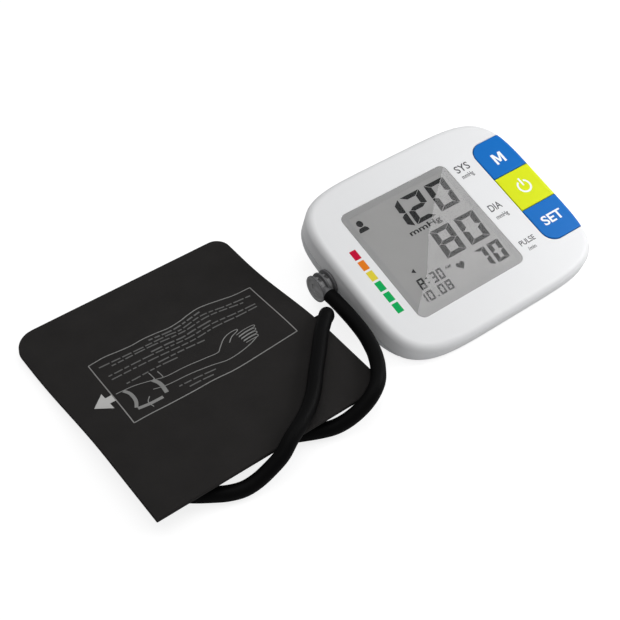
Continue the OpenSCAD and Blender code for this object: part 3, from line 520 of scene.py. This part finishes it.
arrow = over_cuff(np.array([(-139.5, 1.8), (-131.6, 8.8), (-131.6, 4.7), (-127.9, 4.7), (-127.9, -0.2),
                            (-131.6, -0.2), (-131.6, -4.6)]))
print_layer("cuff_print_arrow", [(arrow[::-1], [range(7)])], (0.5, 0.5, 0.49))
dice = np.random.default_rng(3)
words = []
for line, width in (
        ([(-92.2, 28.2), (-82, 26.9), (-75, 26.8), (-67, 28.2), (-59.3, 29.6)], 1.1),
        ([(-122.8, 26.9), (-103, 25.7), (-83, 24.8), (-75, 23.9), (-60, 26.3), (-45, 23.9),
          (-31, 22.2)], 0.9),
        ([(-117, 23.8), (-95, 23.4), (-75, 21.6), (-57.5, 23.4), (-37.2, 19.9)], 0.9),
        ([(-96, 19.3), (-86, 19), (-77.7, 18), (-70, 18.8), (-58.7, 19.5)], 1.1),
        ([(-122.2, 17.9), (-98, 17.2), (-75, 15.5), (-60, 16.6), (-45, 15.3), (-33, 14.6)], 0.9),
        ([(-122.2, 14.6), (-98, 13.8), (-75, 12.2), (-60, 13.3), (-45, 12.4), (-33.6, 12.2)], 0.9),
        ([(-97.5, 9.6), (-84, 9.2), (-70, 8)], 1.0),
        ([(-118, 6.8), (-108, 6.9), (-100, 6.9), (-88, 6.1)], 0.9),
        ([(-99, -12.9), (-90, -13.4), (-78, -14.6)], 0.8),
        ([(-95, -16.4), (-88, -16.6), (-81, -17.2)], 0.8)):
    words += word_dashes(np.array(line), width, dice)
print_layer("cuff_print_words", words, (0.13, 0.13, 0.128))


# Top cover
# White moulded shell with the sloping face, the window's ledge, the button opening and screw posts.
# Fine superellipse rings, with openings cut out whose edges are slightly broken.
tilt = math.radians(16.4)
face_middle = np.array([78, -17.7, 26.4])
half_w, half_l = 72.5, 58.5
wall, rim_round = 2.4, 4


def on_face(p):
    """World points of face points: x to the right, v up the slope and d out of the face."""
    x, v, d = np.asarray(p, float).T
    return np.stack([x, v * math.cos(tilt) - d * math.sin(tilt),
                     v * math.sin(tilt) + d * math.cos(tilt)], 1) + face_middle


def outline(inset, d, count=288):
    """Superellipse ring (a sgn(cos) |cos|^0.4, b sgn(sin) |sin|^0.4) with half sizes a and b."""
    a = np.arange(count) * 2 * np.pi / count
    c, s = np.cos(a), np.sin(a)
    return np.stack([(half_w - inset) * np.sign(c) * np.abs(c) ** 0.4,
                     (half_l - inset) * np.sign(s) * np.abs(s) ** 0.4, np.full(count, float(d))], 1)


def side_at(v, inset):
    """Right end of that ring at v: a (1 - |v / b|^5)^0.2."""
    return (half_w - inset) * (1 - (np.abs(v) / (half_l - inset)) ** 5) ** 0.2


def combined(base, *steps):
    """Base after each (operation, object) step; the other objects are used up."""
    for operation, other in steps:
        cut = base.modifiers.new("cut", "BOOLEAN")
        cut.operation = operation
        cut.solver = "EXACT"
        cut.object = other
        ready = base.evaluated_get(bpy.context.evaluated_depsgraph_get())
        mesh = bpy.data.meshes.new_from_object(ready)
        base.modifiers.clear()
        base.data = mesh
        bpy.data.objects.remove(other)
    base.data.shade_smooth()
    base.data.set_sharp_from_angle(angle=math.radians(28))
    level = base.modifiers.new("level", "WEIGHTED_NORMAL")
    level.keep_sharp = True
    return base


def rod(name, x, y, z0, z1, r, to_world=None):
    """Upright cylinder of radius r between two heights."""
    return loft(name, [rounded_rect(2 * r, 2 * r, r, z, x, y) for z in (z1, z0)], to_world)


key_left, key_low, key_high = 44.8, -35.9, 38.7


def key_ring(low, high, grow, d, round_low=True, round_high=True):
    """Ring of the button strip from low to high: bowed right side, round or square left corners."""
    v = np.linspace(low - grow, high + grow, 41)
    right = np.stack([side_at(v, 1.7 - grow), v], 1)
    corners = []
    for at, sign, is_round in ((high, 1, round_high), (low, -1, round_low)):
        r = 8.5 if is_round else 0.3
        a = np.radians(np.linspace(0, 90, 13)[::sign, None])
        corners.append(np.array([key_left - grow + r, at + sign * (grow - r)])
                       + r * np.hstack([-np.sin(a), sign * np.cos(a)]))
    flat = np.vstack([right, *corners])
    return np.column_stack([flat, np.full(len(flat), float(d))])


quarter = np.radians(np.linspace(0, 90, 12))
shell_rings = [outline(rim_round * (1 - math.sin(a)), -rim_round * (1 - math.cos(a))) for a in quarter]
shell_rings += [outline(0, -12.6), outline(0.08, -12.78), outline(0.25, -12.85)]
inner_round = rim_round - wall
hollow_rings = [outline(wall + inner_round * (1 - math.sin(a)), -wall - inner_round * (1 - math.cos(a)))
                for a in quarter[::3]]
hollow_rings += [outline(wall, -14)]
top = loft("housing_top", shell_rings, on_face)
window_x, window_v, window_w, window_l = -13.5, 0.5, 76, 75
view_w, view_l = 68, 67
ledge = -1.2


def window_ring(w, l, r, d):
    """Rounded w x l ring round the middle of the display window at depth d."""
    return rounded_rect(w, l, r, d, window_x, window_v)


window_rings = [window_ring(window_w + 2 * g, window_l + 2 * g, 4.5 + g, d)
                for g, d in ((0.08, 3), (0.08, 0), (0, -0.08), (0, ledge))]
window_rings += [window_ring(view_w, view_l, 1.5, d) for d in (ledge, -4)]
key_rings = [key_ring(key_low, key_high, g, d) for g, d in ((0.5, 3), (0.5, 0), (0.3, -0.2), (0.3, -3.4))]
table_rings = [rounded_rect(300, 300, 1, z, face_middle[0]) for z in (1.5, -30)]
steps = [("DIFFERENCE", loft("hollow", hollow_rings, on_face))]
for x, v in ((-60.75, -24), (34.65, -24), (-60, 42), (60, 42)):
    steps.append(("UNION", rod("post", x, v, -13, -2.2, 3.4, on_face)))
steps += [("DIFFERENCE", loft("window_cut", window_rings, on_face)),
          ("DIFFERENCE", loft("key_cut", key_rings, on_face)),
          ("DIFFERENCE", loft("table_cut", table_rings)),
          ("DIFFERENCE", rod("socket_cut", -15.5, -0.8, -8, 14, 3.7,
                             lambda p: np.stack([p[:, 2], p[:, 1], -p[:, 0]], 1)))]
combined(top, *steps)
white = finish_of("housing_white", (0.76, 0.765, 0.775), 0.45, 2200, 0.000012, 0.03)
placed(top, "monitor", "white_plastic", white, stands_for=["top_cover"])


# Display border and window
# Clear hard-coated pane, 76 x 75 mm, with a grey border printed on its back.
# The pane's clear front is a thin rounded plate; its printed border is a frame that fills the ledge.
pane_w, pane_l = window_w - 0.2, window_l - 0.2
pane_rings = [window_ring(pane_w - 2 * g, pane_l - 2 * g, 4.4 - g, d)
              for g, d in ((0.05, 0), (0, -0.05), (0, -0.25))]
pane = loft("display_pane", pane_rings, on_face)
clear = bpy.data.materials.new("pane_clear")
clear.use_nodes = True
tree = clear.node_tree
glass = tree.nodes["Principled BSDF"]
glass.inputs["Transmission Weight"].default_value = 1.0
glass.inputs["IOR"].default_value = 1.49
place = add(tree, "ShaderNodeTexCoord")
haze = add(tree, "ShaderNodeTexNoise", {"Vector": place.outputs["Object"], "Scale": 90.0, "Detail": 3.0})
smear = add(tree, "ShaderNodeMapRange", {"Value": haze.outputs["Fac"], "To Min": 0.0, "To Max": 0.02})
tree.links.new(smear.outputs[0], glass.inputs["Roughness"])
tone = add(tree, "ShaderNodeMapRange", {"Value": haze.outputs["Fac"], "To Min": 0.93, "To Max": 0.97})
tree.links.new(tone.outputs[0], glass.inputs["Base Color"])
through = add(tree, "ShaderNodeBsdfTransparent", {"Color": (0.93, 0.93, 0.93, 1)})
ray = add(tree, "ShaderNodeLightPath")
either = add(tree, "ShaderNodeMixShader", {0: ray.outputs["Is Shadow Ray"]})
tree.links.new(glass.outputs[0], either.inputs[1])
tree.links.new(through.outputs[0], either.inputs[2])
tree.links.new(either.outputs[0], tree.nodes["Material Output"].inputs["Surface"])
placed(pane, "monitor", "window_pane", clear, stands_for=["display_window"])
border_rings = [window_ring(pane_w, pane_l, 4.4, d) for d in (-0.27, -1.18)]
opening_rings = [window_ring(view_w - 0.04, view_l - 0.04, 0.6, d) for d in (1, -3)]
border = combined(loft("display_border", border_rings, on_face),
                  ("DIFFERENCE", loft("opening", opening_rings, on_face)))
border_grey = finish_of("border_grey", (0.262, 0.262, 0.262), 0.5, 2600, 0.00001, 0.06,
                        gloss_level=0.2)
placed(border, "monitor", "window_pane", border_grey)


# Display glass and its figures
# Grey reflective liquid crystal glass with dark slanted seven-segment figures.
# The glass is a stepped plate; figures are flat shapes 0.02 mm over it, slanted by 5 degrees.
lcd_top = -0.3
lcd = loft("display_glass", [window_ring(view_w + g, view_l + g, 0.6, d)
                             for g, d in ((-0.1, lcd_top), (-0.1, -2.75), (2.2, -2.9), (2.2, -5))], on_face)
lcd_grey = finish_of("lcd_grey", (0.282, 0.28, 0.278), 0.45, 5200, 0.00001, 0.05, gloss_level=0.2)
placed(lcd, "monitor", "lcd_glass", lcd_grey, stands_for=["lcd_panel"])

lit = {"0": "abcdef", "1": "bc", "2": "abged", "3": "abgcd", "7": "abc", "8": "abcdefg"}


def segment_shapes(figure, x, y, w, h, wide, thin):
    """Corner lists of one figure's segments in a w x h box at (x, y): upright strokes are wide,
    level ones thin, with mitred ends a tenth of a stroke apart, half on each side."""
    g, m, k = 0.05 * wide, y + h / 2, thin / 2
    shapes = {
        "a": [(x + g, y + h), (x + w - g, y + h), (x + w - wide - g, y + h - thin),
              (x + wide + g, y + h - thin)],
        "d": [(x + g, y), (x + wide + g, y + thin), (x + w - wide - g, y + thin), (x + w - g, y)],
        "g": [(x + k + g, m), (x + wide + g, m + k), (x + w - wide - g, m + k), (x + w - k - g, m),
              (x + w - wide - g, m - k), (x + wide + g, m - k)],
    }
    for key, out, side, far, up in (("f", x, 1, y + h, 1), ("b", x + w, -1, y + h, 1),
                                    ("e", x, 1, y, -1), ("c", x + w, -1, y, -1)):
        into = out + side * wide
        shapes[key] = [(out, far - up * g), (into, far - up * (thin + g)), (into, m + up * (k + g)),
                       (out + side * k, m + up * g), (out, m + up * g)]
    return [shapes[key] for key in lit[figure]]


def slanted(shapes):
    """The same corner lists leaning to the right: x + 0.09 v."""
    return [[(x + 0.09 * v, v) for x, v in s] for s in shapes]


def flat_shapes(name, shapes, d):
    """One flat mesh in the plane of the face from corner lists, turned towards the viewer."""
    points = np.concatenate([np.asarray(s, float) for s in shapes])
    ends = np.cumsum([0] + [len(s) for s in shapes])
    faces = [range(a, b) for a, b in zip(ends[:-1], ends[1:])]
    placed_points = on_face(np.column_stack([points, np.full(len(points), float(d))]))
    return facing_out(mesh_object(name, placed_points, faces))


face_out = np.array([0, -math.sin(tilt), math.cos(tilt)])


def facing_out(made):
    """Turns the faces of a flat mesh towards the viewer of the face."""
    for face in made.data.polygons:
        if np.dot(face.normal, face_out) < 0:
            face.flip()
    return made


def lettering(name, lines, d, bold=0.0):
    """Flat letters: each (text, left, right, low, high) line is fitted to its box in the face."""
    points, faces, start = [], [], 0
    for text, x0, x1, v0, v1 in lines:
        data = bpy.data.curves.new(name, "FONT")
        data.body = text
        data.resolution_u = 6
        data.offset = bold
        source = bpy.data.objects.new(name, data)
        bpy.context.scene.collection.objects.link(source)
        ready = source.evaluated_get(bpy.context.evaluated_depsgraph_get())
        mesh = bpy.data.meshes.new_from_object(ready)
        flat = np.empty(len(mesh.vertices) * 3)
        mesh.vertices.foreach_get("co", flat)
        p = flat.reshape(-1, 3)[:, :2]
        p = (p - p.min(0)) / (p.max(0) - p.min(0)) * (x1 - x0, v1 - v0) + (x0, v0)
        points.append(np.column_stack([p, np.full(len(p), float(d))]))
        faces += [[v + start for v in f.vertices] for f in mesh.polygons]
        start += len(p)
        bpy.data.objects.remove(source)
    return facing_out(mesh_object(name, on_face(np.concatenate(points)), faces))


# Each row: lower edge, height, upright stroke, level stroke, then each figure, its left end and width.
figure_rows = (
    (12.1, 18.9, 3.8, 2.7, (("1", -31.3, 13.8), ("2", -15.9, 13.8), ("0", 1.83, 14.1))),
    (-14.2, 18.8, 3.8, 2.7, (("8", -12.9, 13.9), ("0", 4.8, 14.1))),
    (-30.5, 12.75, 2.9, 1.8, (("7", 3.27, 7.2), ("0", 12.5, 8.4))),
    (-22.75, 6.65, 1.1, 1.05, (("8", -37.6, 4.1), ("3", -29, 3.8), ("0", -24.05, 3.6))),
    (-30.5, 6.1, 1.1, 1.05, (("1", -41.8, 3.8), ("0", -36.9, 3.85), ("0", -28.9, 3.8),
                             ("8", -23.75, 4.0))),
)
figures = []
for low, height, wide, thin, row in figure_rows:
    for figure, left, width in row:
        figures += segment_shapes(figure, left, low, width, height, wide, thin)
for x, v in ((-31.9, -18.3), (-31.9, -21.3), (-31.4, -30.4)):
    figures.append([(x, v), (x + 1, v), (x + 1, v + 1), (x, v + 1)])
angle = np.linspace(0, 2 * np.pi, 40, endpoint=False)
heart = np.stack([16 * np.sin(angle) ** 3, 13 * np.cos(angle) - 5 * np.cos(2 * angle)
                  - 2 * np.cos(3 * angle) - np.cos(4 * angle)], 1)
round_head = np.stack([np.cos(angle), np.sin(angle)], 1) * (2.0, 2.1) + (-43.5, 28.5)
signs = [
    [(-37.9, -10.95), (-35.5, -12.5), (-35.5, -9.4)],
    heart * 0.172 + (-10.5, -20.9),
    round_head,
    [(-46.9, 23.1), (-46.8, 24.6), (-45.6, 26), (-41.8, 26), (-40.6, 24.6), (-40.5, 23.1)],
]
ink_level = lcd_top + 0.02
dark = flat_shapes("display_figures", slanted(figures) + signs, ink_level)
ink = finish_of("lcd_dark", (0.005, 0.005, 0.006), 0.6, 5200, 0.00001, 0.3, gloss_level=0.02)
placed(dark, "monitor", "lcd_glass", ink)
unit = lettering("display_unit", [("mmHg", -22.75, -0.5, 6.4, 11), ("AM", -19.8, -15.7, -19, -17.3)],
                 ink_level, 0.02)
placed(unit, "monitor", "lcd_glass", ink)


# Buttons
# Three hard plates in one strip, blue, lime and blue, with stems that press the switches.
# Each plate is cut from the housing's own rounded form, 0.3 mm proud, and carries a white sign.
def sized_key(name, low, high, round_low, round_high):
    """One button plate with its stem between two heights of the strip."""
    rings = [key_ring(low, high, g, d, round_low, round_high)
             for g, d in ((-0.22, 1.3), (-0.22, 0.32), (0, 0.08), (0, -2.6))]
    lifted = [r + (0, 0, 0.3) for r in shell_rings[:13]] + [outline(0, -14)]
    plate = combined(loft(name, rings, on_face), ("INTERSECT", loft("form", lifted, on_face)))
    stem = rod("stem", 57.8, (low + high) / 2, -4.65, -2.55, 2.4, on_face)
    return combined(plate, ("UNION", stem))


def button(purpose, colour, material, low, high, round_low, round_high, sign):
    """A button with its sign, on its own body; its names start with its purpose."""
    plate = sized_key(purpose + "_plate", low, high, round_low, round_high)
    placed(plate, purpose + "_key", colour + "_plastic", material, stands_for=[purpose + "_button"])
    placed(sign, purpose + "_key", "white_plastic", sign_white)


sign_white = finish_of("sign_white", (0.85, 0.87, 0.88), 0.5, 2600, 0.00001, 0.04)
blue = finish_of("button_blue", (0.0, 0.14, 0.5), 0.4, 2400, 0.00001, 0.05, gloss_level=0.15)
lime = finish_of("button_lime", (0.66, 0.74, 0.004), 0.4, 2400, 0.00001, 0.05, gloss_level=0.15)
sign_level = 0.33
m_sign = np.array([(0, 0), (1.6, 0), (1.6, 5), (3.1, 1.2), (4.4, 1.2), (5.9, 5), (5.9, 0), (7.5, 0),
                   (7.5, 7.5), (5.5, 7.5), (3.75, 3.2), (2, 7.5), (0, 7.5)]) + (53.6, 21.1)
button("memory", "blue", blue, 14.07, key_high, False, True,
       flat_shapes("memory_sign", [m_sign], sign_level))
button("set", "blue", blue, key_low, -11.27, True, False,
       lettering("set_sign", [("SET", 50.25, 65.25, -26, -19.75)], sign_level, 0.022))
arc = np.radians(np.linspace(118, 422, 60))
rim = np.stack([np.cos(arc), np.sin(arc)], 1)
power_shapes = [[(57.75 + r * c[0], 1.9 + r * c[1]) for r, c in ((3.4, p), (4.6, p), (4.6, q), (3.4, q))]
                for p, q in zip(rim[:-1], rim[1:])]
power_shapes.append([(57.15, 2.3), (58.35, 2.3), (58.35, 7.75), (57.15, 7.75)])
button("power", "lime", lime, -10.83, 13.63, False, False,
       flat_shapes("power_sign", power_shapes, sign_level))


# Face labels
# Grey printed captions beside the figures and the coloured bars of the pressure scale.
# Flat letters and bars 0.03 mm over the face.
print_level = 0.03
captions = lettering("face_captions", [
    ("SYS", 28.2, 38.3, 27.75, 32.75), ("mmHg", 28.8, 37.2, 22.3, 26.1), ("DIA", 28.2, 36.9, -2.8, 1.9),
    ("mmHg", 28.2, 36.9, -9.3, -5.6), ("PULSE", 28.2, 39.2, -29.3, -25.8),
    ("/min", 30.5, 36.1, -33.7, -31.2)], print_level, 0.012)
caption_grey = finish_of("caption_grey", (0.07, 0.07, 0.075), 0.6, 2600, 0.00001, 0.1)
placed(captions, "monitor", "white_plastic", caption_grey)
scale_left, scale_right = -60.25, -56.1
green = (0.0, 0.38, 0.09)
for name, colour, low, high in (
        ("scale_red", (0.52, 0.0, 0.032), 10.2, 16.4), ("scale_orange", (0.75, 0.19, 0.007), 2.7, 8.9),
        ("scale_yellow", (0.72, 0.6, 0.04), -4.8, 1.4), ("scale_green_high", green, -12.25, -6.1),
        ("scale_green_mid", green, -19.8, -13.75), ("scale_green_low", green, -27.5, -21.25)):
    corners = [(scale_left, low), (scale_right, low), (scale_right, high), (scale_left, high)]
    bar = flat_shapes(name, [corners], print_level)
    paint = finish_of(name, colour, 0.5, 2600, 0.00001, 0.05, gloss_level=0.1)
    placed(bar, "monitor", "white_plastic", paint)


# Air plug
# Grey right-angle plug with three grip discs, a nozzle in the socket and a collar for the hose.
# Turned round the nozzle's axis, with slots cut between the discs; the discs carry a darker copy of the
# core's grey as painted shade.
def lathe(name, profile, to_world, sides=72):
    """Solid turned from (place along the axis, radius) pairs that start and end at radius 0."""
    p = np.asarray(profile, float)
    k = np.arange(sides) * 2 * np.pi / sides
    ring = np.stack([np.broadcast_to(p[1:-1, :1], (len(p) - 2, sides)), p[1:-1, 1:] * np.cos(k),
                     p[1:-1, 1:] * np.sin(k)], -1).reshape(-1, 3)
    points = np.vstack([ring, [p[0, 0], 0, 0], [p[-1, 0], 0, 0]])
    n, last = len(ring), len(ring) - sides
    nxt = np.roll(np.arange(sides), -1)
    caps = [*np.stack([np.full(sides, n), nxt, np.arange(sides)], 1),
            *np.stack([np.full(sides, n + 1), np.arange(sides) + last, nxt + last], 1)]
    made = mesh_object(name, to_world(points), [*grid(len(p) - 2, sides, True)[0], *caps], sharp=30)
    outward(made)
    return made


socket_mouth = np.array([5.2, -0.8, 15.5])
disc_r, core_r, disc_thick, disc_step = 7.8, 5.4, 1.3, 4.1


def along_plug(p):
    """World points of the plug's own points: along its axis away from the housing, then across."""
    return p * (-1, 1, 1) + socket_mouth


profile = [(-7, 0), (-7, 2.2), (-6.65, 2.55), (-4.05, 2.55), (-4.05, 1.66), (-3.15, 1.66),
           (-3.15, 2.55), (0, 2.55)]
for a in (0, disc_step, 2 * disc_step):
    profile += [(a, core_r), (a, disc_r - 0.3), (a + 0.1, disc_r - 0.08), (a + 0.3, disc_r),
                (a + disc_thick - 0.3, disc_r), (a + disc_thick - 0.1, disc_r - 0.08),
                (a + disc_thick, disc_r - 0.3), (a + disc_thick, core_r)]
profile = profile[:-1] + [(9.5, 6.2), (9.1, 5.8), (9.1, 3.2), (8.7, 3.0), (8.7, 0)]
plug = lathe("hose_plug", profile, along_plug)
hose_x = hose_route[-1][0]
collar_path = np.stack([np.full(5, hose_x), [-0.8, -5, -8.4, -8.8, -9.0], np.full(5, socket_mouth[2])], 1)
cuts = [("UNION", tube("collar", collar_path, np.array([3.9, 3.9, 3.9, 3.75, 3.5])))]
slot_w = disc_step - disc_thick
for a in (disc_thick, disc_step + disc_thick):
    slot_x = socket_mouth[0] - a - slot_w / 2
    slot_rings = [rounded_rect(slot_w, 3.2, 0.2, z, slot_x, socket_mouth[1]) for z in (30, 18.9)]
    cuts.append(("DIFFERENCE", loft("slot", slot_rings)))
combined(plug, *cuts)
# The disc grey is the core's grey made darker: painted shade on the grip discs.
plug_disc_shade = finish_of("plug_disc_painted_shade", (0.12, 0.12, 0.125), 0.42, 2400, 0.00002, 0.06)
plug_light = finish_of("plug_core_grey", (0.36, 0.36, 0.365), 0.42, 2400, 0.00002, 0.06)
placed(plug, "cuff_set", "grey_plastic", plug_disc_shade, plug_light, stands_for=["air_plug"])
count = len(plug.data.polygons)
centre = np.empty(count * 3)
plug.data.polygons.foreach_get("center", centre)
centre = centre.reshape(-1, 3) * 1000 - socket_mouth
from_axis = np.hypot(centre[:, 1], centre[:, 2])
# Core faces take the lighter grey; the disc faces keep the darker grey, which is painted shade.
is_core = (from_axis < core_r + 0.5) | ((from_axis < 7.3) & (centre[:, 0] < -8.4))
plug.data.polygons.foreach_set("material_index", is_core.astype(np.int32))


# Pieces kept from the construction model
# Lower cover, feet, screws, battery cover and everything inside, as they were constructed.
# Moulded, turned and plated pieces that keep their own meshes, each with a finish of its kind.
lower_grey = finish_of("lower_grey", (0.66, 0.67, 0.68), 0.45, 2200, 0.000015, 0.03)
chip_black = finish_of("chip_black", (0.02, 0.02, 0.022), 0.5, 2600, 0.00002, 0.15)
plated = finish_of("plated_steel", (0.62, 0.62, 0.6), 0.3, 1500, 0.00001, 0.1, metal=1.0)
motor_steel = finish_of("motor_steel", (0.5, 0.5, 0.52), 0.38, 900, 0.00001, 0.15, metal=1.0)
cell_sleeve = finish_of("cell_sleeve", (0.05, 0.13, 0.33), 0.3, 600, 0.00001, 0.25)
solder_green = finish_of("board_green", (0.012, 0.16, 0.06), 0.4, 700, 0.00004, 0.5)
foot_rubber = finish_of("foot_rubber", (0.12, 0.12, 0.12), 0.8, 1800, 0.00005, 0.15)
seal_black = finish_of("seal_black", (0.015, 0.015, 0.015), 0.45, 1800, 0.00002, 0.1)
tube_milk = finish_of("tube_milk", (0.72, 0.69, 0.6), 0.35, 1200, 0.00001, 0.1)
kept = (
    (lower_grey, ("bottom_cover", "battery_cover")),
    (white, ("lcd_holder", "pump_head", "pressure_sensor", "air_manifold")),
    (tube_milk, ("lcd_connector", "socket_tube", "pump_tube", "valve_tube", "sensor_tube")),
    (chip_black, ("control_chip", "buzzer", "key_switches", "memory_plunger", "power_plunger",
                  "set_plunger")),
    (solder_green, ("circuit_board",)),
    (motor_steel, ("pump_motor", "release_valve")),
    (seal_black, ("pump_sleeve", "plug_seal")),
    (plug_light, ("air_socket",)),
    (cell_sleeve, ("battery_cells",)),
    (plated, ("battery_springs", "battery_plates", "housing_screws", "board_screws")),
    (foot_rubber, ("rubber_feet",)),
)
for material, nodes in kept:
    for node in nodes:
        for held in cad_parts[node].material_slots:
            held.material = material


# Table and backdrop
# Pale plain light table that reaches far behind the object and glows from below.
# One large sheet: half pale diffuse surface, half the even glow that the eye sees.
floor_half = 4000
floor = mesh_object("floor", [(x * floor_half, y * floor_half, -0.02)
                              for x, y in ((-1, -1), (1, -1), (1, 1), (-1, 1))], [range(4)])
table_white = finish_of("table_white", (0.72, 0.72, 0.725), 0.85, 400, 0.00001, 0.01, gloss_level=0.2)
tree = table_white.node_tree
seen = add(tree, "ShaderNodeLightPath")
share = add(tree, "ShaderNodeMath", {0: seen.outputs["Is Camera Ray"], 1: 0.55}, operation="MULTIPLY")
even_glow = add(tree, "ShaderNodeEmission", {"Color": (1, 1, 1, 1), "Strength": 1.48})
table_mix = add(tree, "ShaderNodeMixShader", {0: share.outputs[0]})
tree.links.new(tree.nodes["Principled BSDF"].outputs[0], table_mix.inputs[1])
tree.links.new(even_glow.outputs[0], table_mix.inputs[2])
tree.links.new(table_mix.outputs[0], tree.nodes["Material Output"].inputs["Surface"])
floor.data.materials.append(table_white)


# Light
# White studio light: a pale surrounding, a large soft lamp overhead and a nearer one from the right.
# A bright card is seen only as a reflection in the display's right half; no film curve is applied.
scene = bpy.context.scene
scene.view_settings.view_transform = "Standard"
world = bpy.data.worlds.new("studio")
world.use_nodes = True
world.node_tree.nodes["Background"].inputs["Color"].default_value = (1, 1, 1, 1)
world.node_tree.nodes["Background"].inputs["Strength"].default_value = 0.33
scene.world = world


def soft_lamp(name, place, target, size, power):
    """Square area lamp that faces its target."""
    data = bpy.data.lights.new(name, "AREA")
    data.size = size
    data.energy = power
    lamp = bpy.data.objects.new(name, data)
    scene.collection.objects.link(lamp)
    lamp.location = place
    aim = np.asarray(target, float) - place
    tip = math.atan2(math.hypot(aim[0], aim[1]), -aim[2])
    lamp.rotation_euler = (tip, 0, math.atan2(aim[1], aim[0]) - math.pi / 2)
    return lamp


soft_lamp("lamp_over", (0.0, 0.15, 1.5), (0, 0, 0), 1.5, 9.5)
soft_lamp("lamp_side", (0.5, -0.2, 0.35), (0.07, 0, 0), 0.3, 2.0)
eye = np.array(camera.location) * 1000
eye -= 2 * np.dot(eye - face_middle, face_out) * face_out
card_edge = on_face([(-49.8, -31.5, 0), (-29.8, -14.8, 0), (-13.2, 4.3, 0), (3.5, 19.3, 0),
                     (18.5, 31.8, 0), (26, 38, 0), (64, 64, 0), (64, -76, 0), (-78, -76, 0), (-56, -38, 0)])
card_reach = 2.2
card = mesh_object("reflection_card", eye + card_reach * (card_edge - eye), [range(len(card_edge))])
glow = bpy.data.materials.new("card_glow")
glow.use_nodes = True
lit_sheet = glow.node_tree.nodes["Principled BSDF"].inputs
lit_sheet["Emission Color"].default_value = (1, 1, 1, 1)
lit_sheet["Emission Strength"].default_value = 0.95
card.data.materials.append(glow)
card.visible_camera = card.visible_diffuse = card.visible_shadow = False
